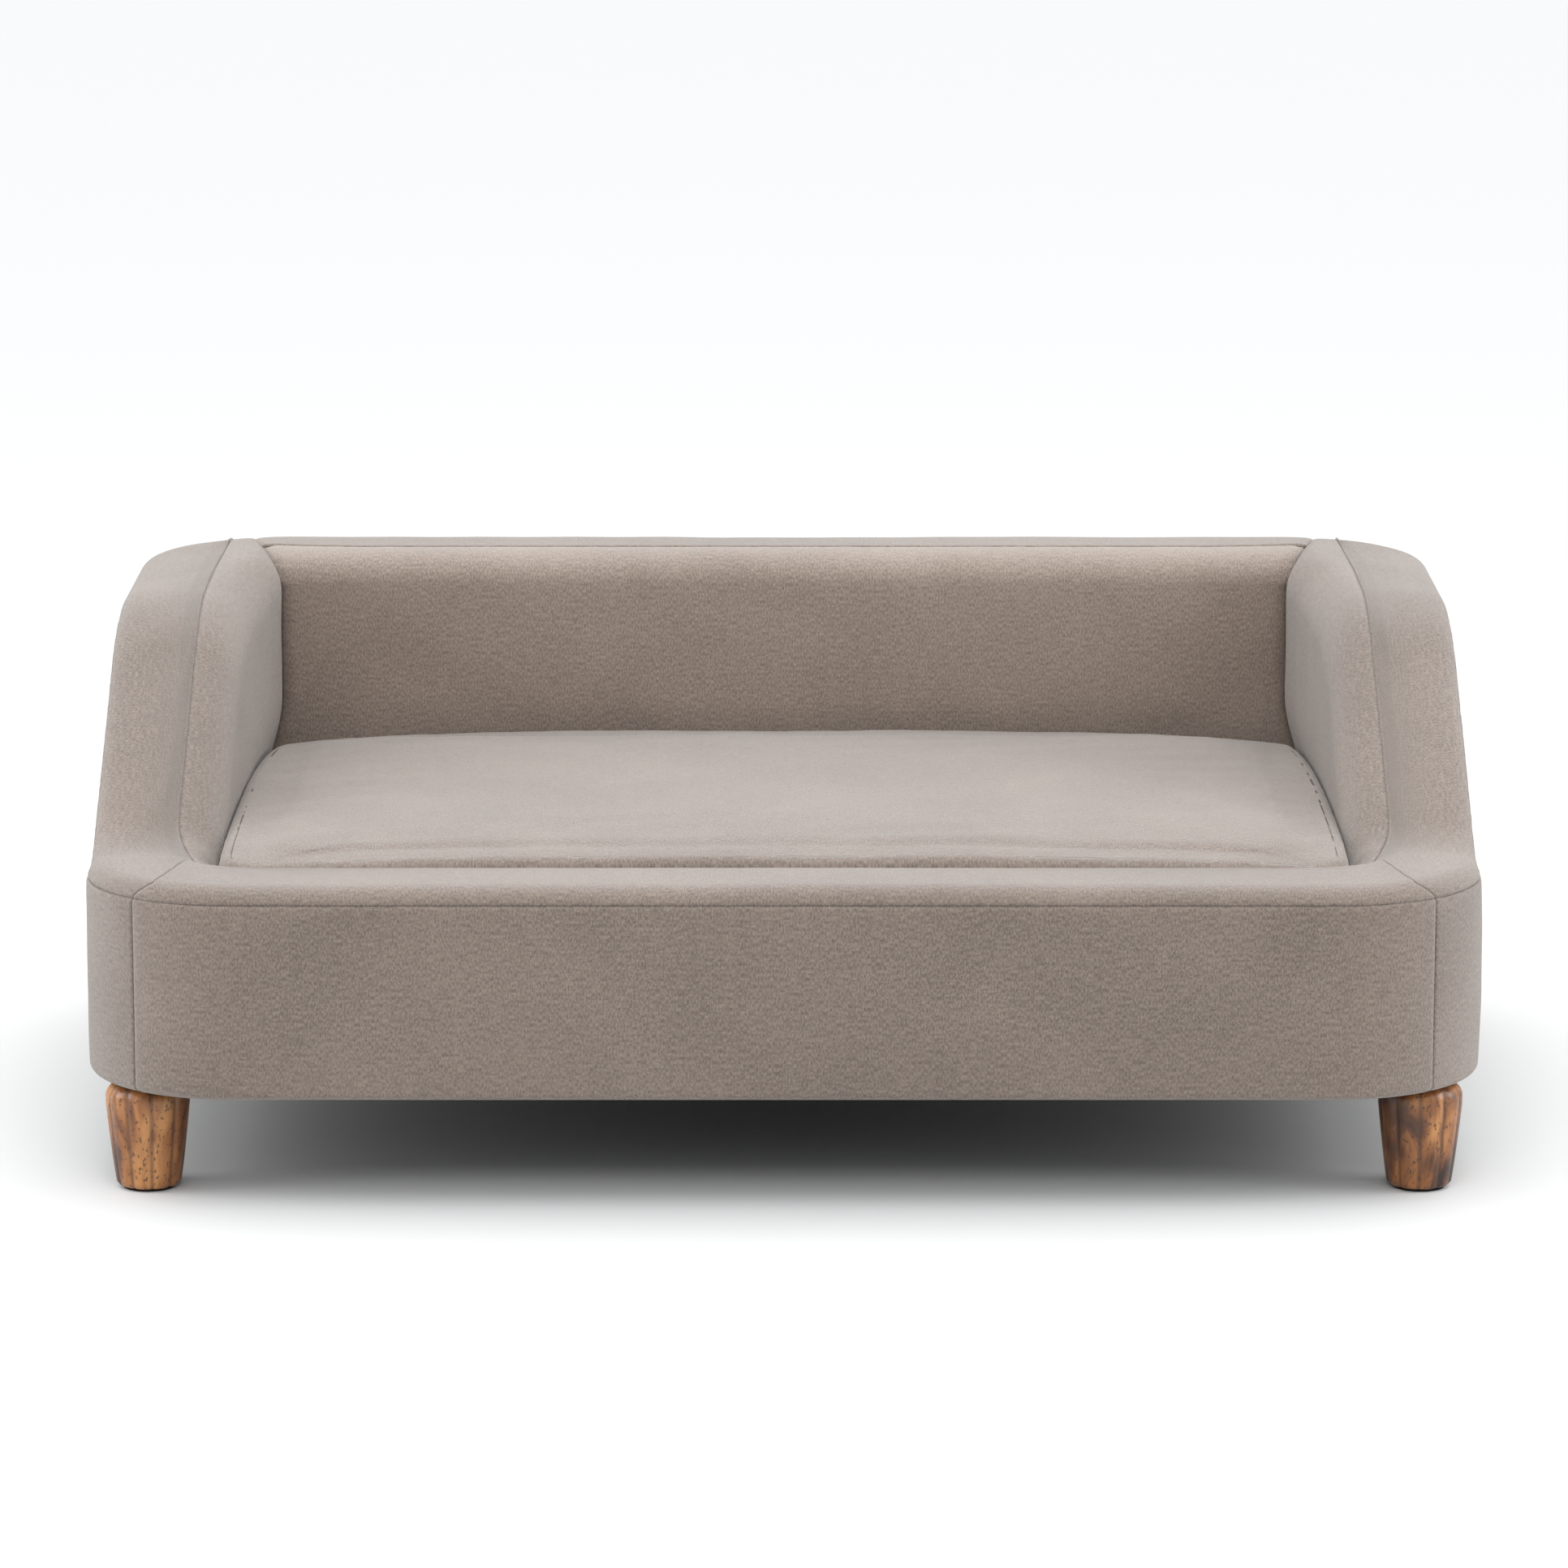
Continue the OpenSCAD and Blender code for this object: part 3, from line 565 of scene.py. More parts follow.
def front_strip(cols, rows=46):
    """Top of the low front, from mitre to mitre."""
    share = np.linspace(0, 1, rows)[:, None]
    reach = mitre_station(share)
    station = reach * np.linspace(-1, 1, cols)[None, :]
    inset = strip_rows(share, seam_in(np.abs(station)))
    x, y = place_at(station, inset)
    z = crest(y) + outer_height(inset) + inner_height(np.abs(station), inset)
    return np.stack([x, y, z], -1)


def arm_strip(cols, rows=40):
    """Top of the right arm, from the mitre back and round the rear corner, where its inner seam runs out over
    the edge."""
    share = np.linspace(0, 1, rows)[:, None]
    start = mitre_station(share)
    seam_x = HALF_W - 0.0585
    rear = FLAT + TURN + SIDE
    last = rear + CORNER * np.arccos((seam_x - FLAT) / (CORNER - 0.0012))
    station = start + (last - start) * np.linspace(0, 1, cols)[None, :]
    turned = np.clip((station - rear) / CORNER, 0, np.pi / 2)
    around = CORNER - (seam_x - FLAT) / np.cos(np.minimum(turned, 1.4))
    on_arm = np.minimum(seam_in(station), CORNER)
    end_inset = np.where(station < rear, on_arm, np.minimum(seam_in(arm_station(CORNER_Y)), around))
    end_inset = np.maximum(end_inset, 0.0010)
    inset = strip_rows(share, end_inset)
    x, y = place_at(station, inset)
    z = crest(y) + outer_height(inset)
    z = z + np.where(station < rear, inner_height(station, inset), 0)
    return np.stack([x, y, z], -1)


def arm_inner(cols, rows=26):
    """Inner face of the right arm with the front corner: over the shoulder from the seam, then down a slightly
    bulging face to the deck. Behind the rear corner's centre it runs straight back, over the edge."""
    corner = np.linspace(FLAT - 0.016, FLAT + TURN, 60)
    straight = np.linspace(FLAT + TURN, FLAT + TURN + SIDE, cols)[1:]
    station = np.concatenate([corner, straight])
    edge_angle = np.linspace(np.pi / 2, SEAM_ANGLE, 10)
    edge = outer_rounding(edge_angle)[0]
    back_share = np.linspace(0, 1, 16)[1:]
    rear_y = np.concatenate([CORNER_Y + (HALF_D - ROUND_IN - CORNER_Y) * back_share, HALF_D - edge[1:]])
    station = np.concatenate([station, arm_station(rear_y)])[None, :]
    rear_from = len(corner) + len(straight)
    reach, wide, deep = face_in(station), roll_in(station), roll_down(station)
    centre = reach - wide
    first = np.arcsin(np.clip((seam_in(station) - centre) / wide, 0, 0.98))
    lie = np.linspace(0, 1, rows)[:, None]
    seam_inset = np.minimum(seam_in(station), reach - 0.002)
    flat_first = seam_inset < centre
    share_flat = np.clip((centre - seam_inset) / (reach - seam_inset), 0, 1)
    turning = first + (np.pi / 2 - first) * lie
    bent = np.where(lie < share_flat, 0, (lie - share_flat) / np.maximum(1 - share_flat, 1e-6)) * np.pi / 2
    inset = np.where(
        flat_first,
        np.where(lie < share_flat, seam_inset + (reach - seam_inset) * lie, centre + wide * np.sin(bent)),
        centre + wide * np.sin(turning),
    )
    drop = np.where(flat_first, deep * (np.cos(bent) - 1), deep * (np.cos(turning) - 1))
    y_line = np.where(station < arm_station(CORNER_Y), place_at(station, 0.04)[1], station - arm_station(0))
    floor = DECK + 0.0002
    hidden = np.clip((y_line - 0.217) / 0.010, 0, 1)
    crest_here = np.where(station < FLAT + TURN, RAIL, crest(y_line))
    bottom = floor + (crest_here - deep - 0.016 - floor) * hidden ** 2 * (3 - 2 * hidden)
    down = np.linspace(0, 1, 22)[1:, None]
    z_face = (crest_here - deep) + (bottom - crest_here + deep) * down
    base = np.minimum(reach, 0.085)
    hold = np.clip((z_face - 0.165) / 0.075, 0, 1)
    hold = hold * hold * (3 - 2 * hold)
    inset_face = base + (reach - base) * np.where(reach > 0.085, hold, 1)
    inset = np.concatenate([inset, inset_face])
    station_grid = station + 0 * inset
    x, y = place_at(station_grid[:, :rear_from], inset[:, :rear_from])
    x_rear = HALF_W - inset[:, rear_from:]
    edge_full = np.concatenate([np.full(15, ROUND_IN), edge[1:]])[None, :]
    swing = np.sqrt(np.clip((CORNER - edge_full) ** 2 - np.clip(x_rear - FLAT, 0, None) ** 2, 0, None))
    y_edge = HALF_D - CORNER + swing
    fraction = np.concatenate([back_share, np.ones(9)])[None, :]
    y_rear = CORNER_Y + (y_edge - CORNER_Y) * fraction
    x = np.concatenate([x, x_rear], 1)
    y = np.concatenate([y, y_rear], 1)
    z_top = crest(y[:rows]) + drop
    outside = np.where(
        (y[:rows] > CORNER_Y) & (x[:rows] > FLAT),
        CORNER - np.hypot(x[:rows] - FLAT, y[:rows] - CORNER_Y),
        np.minimum(HALF_W - x[:rows], HALF_D - y[:rows]),
    )
    z_top = z_top + outer_height(np.maximum(outside, 0.0004))
    over_edge = outer_height(np.maximum(outside[-1:, rear_from:], 0.0004))
    z_low = np.concatenate([z_face[:, :rear_from], z_face[:, rear_from:] + over_edge], 1)
    return np.stack([x, y, np.concatenate([z_top, z_low])], -1)


def front_inner(cols, rows=12):
    """Inner face of the low front: a small rounding from the seam, then down to the deck."""
    station = np.linspace(-FLAT + 0.016, FLAT - 0.016, cols)[None, :]
    far = np.abs(station)
    reach, wide, deep = face_in(far), roll_in(far), roll_down(far)
    first = np.arcsin(np.clip((seam_in(far) - reach + wide) / wide, 0, 0.98))
    turning = first + (np.pi / 2 - first) * np.linspace(0, 1, rows)[:, None]
    down = np.linspace(0, 1, 14)[1:, None]
    inset = np.concatenate([reach - wide + wide * np.sin(turning), reach + 0 * down])
    face = RAIL - deep + (DECK + 0.0002 - RAIL + deep) * down
    z = np.concatenate([RAIL + deep * (np.cos(turning) - 1), face])
    x, y = place_at(station + 0 * inset, inset)
    return np.stack([x, y, z], -1)


# The back lies between the arms, with a roll along its inner side. crease is the x of their meeting line.
BACK_FACE = 0.090
BACK_ROLL_IN = 0.034
BACK_ROLL_DOWN = 0.024
BACK_ROLL_POWER = 2.4
crease = eased(
    np.array([0.205, 0.215, 0.235, 0.257, 0.280, 0.305]),
    np.array([0.3565, 0.3595, 0.3655, 0.3705, 0.3770, 0.3800]), 0.008,
)
seam_back = eased(np.array([0.0, 0.300, 0.340, 0.365, 0.38]), np.array([0.056, 0.056, 0.053, 0.047, 0.043]))


def back_height(depth):
    """Height lost over the back's inner roll, at a depth from its outer face."""
    past = np.clip((depth - BACK_FACE + BACK_ROLL_IN) / BACK_ROLL_IN, 0, 1)
    return BACK_ROLL_DOWN * ((1 - past ** BACK_ROLL_POWER) ** (1 / BACK_ROLL_POWER) - 1)


def back_strip(cols, rows=36):
    """Top of the back between the arms, from the rear seam to the inner seam; its columns run to the left."""
    share = np.linspace(0, 1, rows)[:, None]
    side = np.linspace(1, -1, cols)[None, :]
    inset = strip_rows(share, np.full_like(side, 0.056))
    y = HALF_D - inset
    for _ in range(3):
        x = side * (crease(y) + 0.0045)
        inset = strip_rows(share, seam_back(np.abs(x)))
        past = np.clip(np.abs(x) - FLAT, 0, None)
        y = HALF_D - CORNER + np.sqrt((CORNER - inset) ** 2 - past ** 2)
    z = BACK + outer_height(inset) + back_height(HALF_D - y)
    return np.stack([x, y, z], -1)


def back_inner(cols, rows=26):
    """Inner face of the back: from the seam over the roll, down to the deck; its ends meet the arms' bulge."""
    side = np.linspace(1, -1, cols)[None, :]
    start = seam_back(np.abs(side) * 0.366)
    turning = np.pi / 2 * np.linspace(0, 1, rows)[:, None] + 0 * side
    over = np.sin(turning) ** (2 / BACK_ROLL_POWER)
    down = np.linspace(0, 1, 40)[1:, None]
    depth = np.concatenate([start + (BACK_FACE - start) * over, BACK_FACE + 0 * down + 0 * side])
    z = np.concatenate([
        BACK + back_height(depth[:rows]),
        BACK - BACK_ROLL_DOWN + (DECK + 0.0002 - BACK + BACK_ROLL_DOWN) * down + 0 * side,
    ])
    y = HALF_D - depth
    hold = np.clip((z - 0.165) / 0.075, 0, 1)
    hold = hold * hold * (3 - 2 * hold)
    meets = HALF_W - 0.085 - 0.016 * hold
    reach = np.where(z > BACK - BACK_ROLL_DOWN, np.maximum(crease(y), meets), meets) + 0.0035
    x = side * reach
    full = 0.004 * np.sin(np.pi * np.clip((z - DECK) / (BACK - DECK), 0, 1)) ** 0.7
    free = np.clip((depth - 0.075) / 0.015, 0, 1) * np.clip((z - 0.196) / 0.035, 0, 1)
    y = y - full * np.clip(1 - side ** 4, 0, 1) * free
    return np.stack([x, y, z], -1)


def mirrored(grid):
    """The same piece on the left: x turned over, and the columns reversed so that faces still look out."""
    return (grid * [-1, 1, 1])[:, ::-1]


def shelled(piece, thickness):
    """Gives a surface its thickness, inward."""
    wall = piece.modifiers.new("wall", "SOLIDIFY")
    wall.thickness = thickness
    wall.offset = -1
    wall.use_even_offset = False
    return piece


def foam_layer(name, grid, under, thickness, node):
    """A foam layer: the cover's own shape moved in by `under`, and that thick."""
    sunk = grid - outward(grid) * under
    run = np.stack([lengths(sunk, 1), lengths(sunk, 0)], -1)
    piece = shelled(grid_mesh(name, sunk, foam_finish, run), thickness)
    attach(piece, "bed")
    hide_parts(node)
    return piece


def thinned(grid, rows, cols):
    """Every few rows and columns of a grid, with its last ones kept."""
    keep_rows = np.unique(np.append(np.arange(0, grid.shape[0], rows), grid.shape[0] - 1))
    keep_cols = np.unique(np.append(np.arange(0, grid.shape[1], cols), grid.shape[1] - 1))
    return grid[keep_rows][:, keep_cols]


front_grid = outer_panel(-SPLIT, SPLIT, 420)
side_grid = outer_panel(SPLIT, REAR_SPLIT, 330)


def rear_panel(cols):
    """Outer face of the back: the outer panel's shape, from the right rear corner seam to the left one."""
    right = outer_panel(REAR_SPLIT, HALF_ROUND, cols // 2, crown=0.0)
    left = mirrored(right)
    whole = np.concatenate([right, left[:, 1:]], 1)
    lift = np.clip((whole[..., 2] - 0.08) / 0.25, 0, 1)
    wide = np.abs(np.sin(np.linspace(0, np.pi, whole.shape[1])))[None, :] ** 0.6
    whole[..., 1] += 0.0022 * np.sin(np.pi * lift) * wide
    return whole


back_grid = rear_panel(300)
front_strip_grid = front_strip(440)
arm_strip_grid = arm_strip(330)
back_strip_grid = back_strip(330)
front_inner_grid = front_inner(300)
arm_inner_grid = arm_inner(200)
back_inner_grid = back_inner(330)
left_side, left_strip, left_inner = mirrored(side_grid), mirrored(arm_strip_grid), mirrored(arm_inner_grid)

# Each layer: its piece, its grid with the hidden rows and columns cut off, how far it lies under the cover,
# how thick it is, and the CAD node that it stands for.
UNDER_CLOTH = 0.0062
for name, layer_grid, under, thickness, node in (
    ("front_wrap_foam", thinned(front_grid[11:], 3, 5), UNDER_CLOTH, 0.004, "front_foam_wrap"),
    ("side_wrap_foam_right", thinned(side_grid[11:], 3, 5), UNDER_CLOTH, 0.004, "side_foam_wrap_right"),
    ("side_wrap_foam_left", thinned(left_side[11:], 3, 5), UNDER_CLOTH, 0.004, "side_foam_wrap_left"),
    ("back_wrap_foam", thinned(back_grid[11:], 3, 5), UNDER_CLOTH, 0.004, "back_foam_wrap"),
    ("front_cap_foam", thinned(front_strip_grid[8:], 2, 5), UNDER_CLOTH, 0.010, "front_foam_cap"),
    ("arm_cap_foam_right", thinned(arm_strip_grid[8:, :250], 2, 5), UNDER_CLOTH, 0.010, "arm_foam_cap_right"),
    ("arm_cap_foam_left", thinned(left_strip[8:, -250:], 2, 5), UNDER_CLOTH, 0.010, "arm_foam_cap_left"),
    ("back_cap_foam", thinned(back_strip_grid[8:], 2, 5), UNDER_CLOTH, 0.010, "back_foam_cap"),
    ("front_inner_pad", thinned(front_inner_grid, 3, 5), 0.0060, 0.004, "front_inner_foam"),
    ("arm_inner_pad_right", thinned(arm_inner_grid[6:, :240], 3, 5), UNDER_CLOTH, 0.006,
     "arm_inner_foam_right"),
    ("arm_inner_pad_left", thinned(left_inner[6:, -240:], 3, 5), UNDER_CLOTH, 0.006, "arm_inner_foam_left"),
    ("back_inner_pad", thinned(back_inner_grid, 3, 5), 0.0068, 0.008, "back_inner_foam"),
):
    foam_layer(name, layer_grid, under, thickness, node)


# ---- Covers: outer panels, top strips and inner panels ----
# A taupe velvety cloth with a fine upright weave, sewn inside out, turned and pulled over the foam. The strips
# have plain seams along both edges and a stitched mitre at the front corners. The outer panels meet in
# stitched corner seams.
def velvety_cloth(name, light, dark, sheen):
    """Fine weave from the cloth's own UV in metres: crossing sine ribs, a speckle of lit pile, level slubs and
    slow shading, then a dark line along each seam that widens at the needle holes. The line is partly the
    stitching and its holes, partly painted shade for the shadow in the groove that the seam draws in."""
    material, tree, shader = bare_finish(name, 0.85, 0.25)
    shader.inputs["Sheen Weight"].default_value = sheen
    shader.inputs["Sheen Roughness"].default_value = 0.45
    shader.inputs["Sheen Tint"].default_value = (0.98, 0.975, 0.97, 1)
    laid = wire(tree, "UVMap", {}, uv_map="weave").outputs["UV"]
    upright = wire(tree, "Mapping", {"Vector": laid, "Scale": (1.0, 0.42, 1.0)}).outputs["Vector"]
    speckle = noise(tree, upright, 950.0, 3.0, Roughness=0.65)
    level = wire(tree, "Mapping", {"Vector": laid, "Scale": (0.30, 1.0, 1.0)}).outputs["Vector"]
    slub = noise(tree, level, 420.0, 2.0)
    parts = wire(tree, "SeparateXYZ", {"Vector": laid})
    per_warp, per_weft, per_stitch = 2 * np.pi / 0.00125, 2 * np.pi / 0.00105, 2 * np.pi / 0.0042
    warp = maths(tree, "MULTIPLY", parts.outputs["X"], per_warp)
    weft = maths(tree, "MULTIPLY", parts.outputs["Y"], per_weft)
    warp_wave = maths(tree, "SINE", warp)
    weft_wave = maths(tree, "SINE", weft)
    woven = maths(tree, "MULTIPLY", warp_wave, weft_wave)
    drift = noise(tree, laid, 9.0, 3.0, Distortion=0.6)
    tone = maths(tree, "MULTIPLY", speckle, 0.80)
    for part, share in ((slub, 0.22), (drift, 0.16), (woven, 0.045)):
        tone = maths(tree, "MULTIPLY_ADD", part, share, tone)
    tint = shades(tree, tone, [(0.47, dark), (0.71, light)])
    # Dark seam line: the stitching and its needle holes, with painted shade for the shadow in the seam's
    # groove.
    near = wire(tree, "SeparateXYZ", {"Vector": wire(tree, "UVMap", {}, uv_map="seams").outputs["UV"]})
    needle = maths(tree, "MULTIPLY", near.outputs["X"], per_stitch)
    hole = maths(tree, "SINE", needle)
    width = ranged(tree, hole, -1.0, 1.0, 0.0004, 0.0013)
    ratio = maths(tree, "DIVIDE", near.outputs["Y"], width)
    line = ranged(tree, ratio, 0.55, 1.2, 0.30, 0.0)
    sewn = wire(tree, "Mix", {}, data_type="RGBA")
    tree.links.new(line, sewn.inputs[0])
    tree.links.new(tint, sewn.inputs[6])
    sewn.inputs[7].default_value = (*(0.18 * part for part in dark), 1)
    tree.links.new(sewn.outputs[2], shader.inputs["Base Color"])
    height = maths(tree, "MULTIPLY_ADD", woven, 0.22, speckle)
    emboss(tree, shader, height, 0.75, 0.0009)
    return material


cloth = velvety_cloth("taupe_cloth", (0.268, 0.216, 0.182), (0.130, 0.102, 0.084), 0.5)
# A lighter copy of the same cloth for the back's inner face: painted light, making up for the shade this face
# stands in.
lightened_back_cloth = velvety_cloth("taupe_cloth_lightened", (0.340, 0.272, 0.228), (0.178, 0.140, 0.114), 0.5)


def corner_pulls(grid, up):
    """Pull folds that fan out over the inner front corner, deepest between the seam and the cushion."""
    x, y = np.abs(grid[..., 0]) - 0.330, grid[..., 1] + 0.196
    fan = np.arctan2(-y, x)
    near = np.exp(-((np.hypot(x, y) - 0.046) / 0.022) ** 2) * np.clip((-0.165 - grid[..., 1]) / 0.03, 0, 1)
    waves = np.sin(17 * fan + 9 * up / 0.06) + 0.5 * np.sin(29 * fan + 1.3)
    return near * 0.0011 * waves * np.clip(up / 0.008, 0, 1)


def covering(name, grid, edges, seed, node, lumps=0.0006, folds=None, pile=cloth):
    """Sews one panel of the cover and puts it on the bed in place of its CAD node."""
    sewn, uv, seam_uv = sew(grid, edges, seed, lumps, folds)
    piece = shelled(grid_mesh(name, sewn, pile, uv, seam_uv), CLOTH)
    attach(piece, "bed")
    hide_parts(node)
    return piece


# How wide and how deep the cloth is drawn in along each kind of seam.
SEAM = (0.0050, 0.0030)
STRIP_SEAM = (0.0030, 0.0025)
INNER_SEAM = (0.0034, 0.0009)
STITCHED = (0.0014, 0.0005)
outer_edges = {"last_row": SEAM, "first_col": STITCHED, "last_col": STITCHED}
covering("front_panel", front_grid, outer_edges, 11, "front_cover", 0.0008)
covering("side_panel_right", side_grid, outer_edges, 12, "side_cover_right", 0.0008)
covering("side_panel_left", left_side, outer_edges, 13, "side_cover_left", 0.0008)
covering("back_panel", back_grid, outer_edges, 14, "back_cover", 0.0008)

strip_edges = {"first_row": STRIP_SEAM, "last_row": INNER_SEAM}
arm_edges = {**strip_edges, "first_col": STITCHED}
left_arm_edges = {**strip_edges, "last_col": STITCHED}
back_edges = {
    "first_row": STRIP_SEAM, "last_row": (0.0040, 0.0028),
    "first_col": (0.008, 0.0022), "last_col": (0.008, 0.0022),
}
covering("front_strip", front_strip_grid, {**arm_edges, **left_arm_edges}, 15, "front_top_strip", 0.0005)
covering("arm_strip_right", arm_strip_grid, arm_edges, 16, "arm_top_strip_right", 0.0005)
covering("arm_strip_left", left_strip, left_arm_edges, 17, "arm_top_strip_left", 0.0005)
covering("back_strip", back_strip_grid, back_edges, 18, "back_top_strip", 0.0005)

inner_edges = {"first_row": INNER_SEAM, "last_col": STRIP_SEAM}
left_inner_edges = {"first_row": INNER_SEAM, "first_col": STRIP_SEAM}
back_inner_edges = {"first_row": (0.0050, 0.0028), "first_col": (0.012, 0.006), "last_col": (0.012, 0.006)}
covering("front_inner_panel", front_inner_grid, {"first_row": INNER_SEAM}, 19, "front_inner_cover", 0.0004)
covering(
    "arm_inner_panel_right", arm_inner_grid, inner_edges, 20, "arm_inner_cover_right", 0.0007,
    folds=corner_pulls,
)
covering(
    "arm_inner_panel_left", left_inner, left_inner_edges, 21, "arm_inner_cover_left", 0.0007,
    folds=corner_pulls,
)
# The back's inner face takes the lighter copy of the cloth: painted light on a shaded face.
covering(
    "back_inner_panel", back_inner_grid, back_inner_edges, 22, "back_inner_cover", 0.0009, pile=lightened_back_cloth,
)

# ---- Deck cloth and dust cover ----
# Black non-woven cloth. One sheet is pulled over the deck under the cushion, one is stapled under the frame.
black_felted, black_tree, black_shader = bare_finish("black_nonwoven", 0.9, 0.15)
black_own = own_place(black_tree)
black_bonds = {"Vector": black_own, "Scale": 420.0}
black_cells = wire(black_tree, "TexVoronoi", black_bonds, feature="DISTANCE_TO_EDGE").outputs["Distance"]
black_hair = noise(black_tree, black_own, 800.0, 4.0)
black_mix = maths(black_tree, "MULTIPLY", black_cells, black_hair)
black_tone = shades(black_tree, black_mix, [(0.0, (0.022, 0.022, 0.024)), (0.3, (0.007, 0.007, 0.008))])
black_tree.links.new(black_tone, black_shader.inputs["Base Color"])
emboss(black_tree, black_shader, black_mix, 0.5, 0.0004)

deck_low, deck_high = (np.array(corner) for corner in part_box("deck_cloth"))
deck_u = np.linspace(deck_low[0], deck_high[0], 90)
deck_v = np.linspace(deck_low[1], deck_high[1], 56)
deck_u, deck_v = np.meshgrid(deck_u, deck_v)
deck_z = deck_low[2] + 0.0004 + 0.0002 * ripple(deck_u, deck_v, 0.08, 31)
deck_grid = np.stack([deck_u, deck_v, deck_z], -1)
deck_sheet = grid_mesh("deck_sheet", deck_grid, black_felted, deck_grid[..., :2])
deck_wall = deck_sheet.modifiers.new("wall", "SOLIDIFY")
deck_wall.thickness = 0.0006
deck_wall.offset = 1
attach(deck_sheet, "bed")
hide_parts("deck_cloth")

dust_low, dust_high = (np.array(corner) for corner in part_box("dust_cover"))
dust_r = CORNER - (HALF_W - dust_high[0])
dust_y = np.linspace(dust_low[1], dust_high[1], 120)[:, None]
dust_past = np.clip(np.abs(dust_y) - (dust_high[1] - dust_r), 0, dust_r)
dust_half = dust_high[0] - dust_r + np.sqrt(np.clip(dust_r ** 2 - dust_past ** 2, 0, None))
dust_x = dust_half * np.linspace(-1, 1, 180)[None, :]
dust_y = dust_y + 0 * dust_x
from_leg = np.hypot(np.abs(dust_x) - 0.416, np.abs(dust_y) - 0.245)
from_edge = np.minimum(dust_high[0] - np.abs(dust_x), dust_high[1] - np.abs(dust_y))
slack = np.clip((from_leg - 0.032) / 0.05, 0, 1) * np.clip((from_edge - 0.012) / 0.06, 0, 1)
dust_z = dust_high[2] - 0.0001 - slack * (0.0022 + 0.0010 * ripple(dust_x, dust_y, 0.11, 32))
dust_grid = np.stack([dust_x, dust_y, dust_z], -1)[:, ::-1]
dust_sheet = grid_mesh("dust_sheet", dust_grid, black_felted, dust_grid[..., :2])
dust_wall = dust_sheet.modifiers.new("wall", "SOLIDIFY")
dust_wall.thickness = 0.0006
dust_wall.offset = 1
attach(dust_sheet, "bed")
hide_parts("dust_cover")

# ---- Seat cushion ----
# A loose foam cushion in the same cloth: top and bottom panels sewn to a boxing, crowned, with soft corners.
# It lies in the well and lifts out. The cover is blown up by a cloth simulation, then drawn in at its seams.
seat_low, seat_high = (np.array(corner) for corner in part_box("cushion_cover"))
seat_mid = (seat_low + seat_high) / 2
SEAT_R = 0.030
SEAT_TOP_R = 0.0085
SEAT_LOW_R = 0.009


def cushion_surface(smaller, cols, fine):
    """Closed form over a length round the outline and a path: middle of the bottom, edge, boxing, edge, middle
    of the top. Its corners sink, its sides pull in towards the back and its top is slightly crowned. Returns
    the grid, the stations of its columns, and the rows of its lower and upper seams."""
    half = (seat_high - seat_low)[:2] / 2 - smaller
    flat, side = half[0] - SEAT_R, 2 * (half[1] - SEAT_R)
    round_trip = 2 * flat + side + SEAT_R * np.pi
    station = np.linspace(-round_trip, round_trip, cols, endpoint=False)[None, :]
    quarter = np.linspace(0, np.pi / 2, 3 * fine)[:, None]
    wall = np.linspace(0, 1, 3 * fine)[1:-1, None]
    outermost = 1 - 0.1 * np.linspace(1, 0, 9 * fine)[1:] ** 1.8
    disc = np.concatenate([np.linspace(0, 0.9, 8 * fine), outermost])[:, None]
    tall = seat_high[2] - seat_low[2] - smaller + 0.0005
    share = np.concatenate([disc, np.ones((len(quarter) * 2 + len(wall), 1)), disc[::-1]])
    inset = np.concatenate([
        SEAT_LOW_R + 0 * disc, SEAT_LOW_R * (1 - np.sin(quarter)), 0 * wall,
        SEAT_TOP_R * (1 - np.cos(quarter)), SEAT_TOP_R + 0 * disc,
    ])
    rise = np.concatenate([
        0 * disc, SEAT_LOW_R * (1 - np.cos(quarter)), SEAT_LOW_R + (tall - SEAT_LOW_R - SEAT_TOP_R) * wall,
        tall - SEAT_TOP_R * (1 - np.sin(quarter)), tall + 0 * disc,
    ])
    x, y = round_rectangle(station + 0 * inset, inset, half, SEAT_R)
    x, y = x * share, y * share
    across, deep = x / half[0], y / half[1]
    back = np.clip(deep, 0, 1)
    x = x * (1 + 0.006 - 0.030 * back ** 1.6)
    y = y - 0.010 * np.abs(across) ** 7 * back ** 4
    level = rise / tall
    z = seat_low[2] + rise + 0 * x
    z = z - level * 0.0100 * np.abs(across) ** 4 * np.abs(deep) ** 4
    z = z + level * 0.0030 * (1 - across ** 2) * (1 - deep ** 2)
    z = z - level * 0.0035 * np.clip((-deep - 0.88) / 0.12, 0, 1) ** 2
    low_seam = len(disc) + len(quarter) - 1
    grid = np.stack([x + seat_mid[0], y + seat_mid[1], z], -1)
    return grid, station, low_seam, low_seam + len(wall) + 1


def as_it_stands(piece):
    """The piece's mesh with its modifiers applied, at the present frame."""
    return bpy.data.meshes.new_from_object(piece.evaluated_get(bpy.context.evaluated_depsgraph_get()))


cushion_grid, cushion_station, low_row, top_row = cushion_surface(0.0, 520, 3)
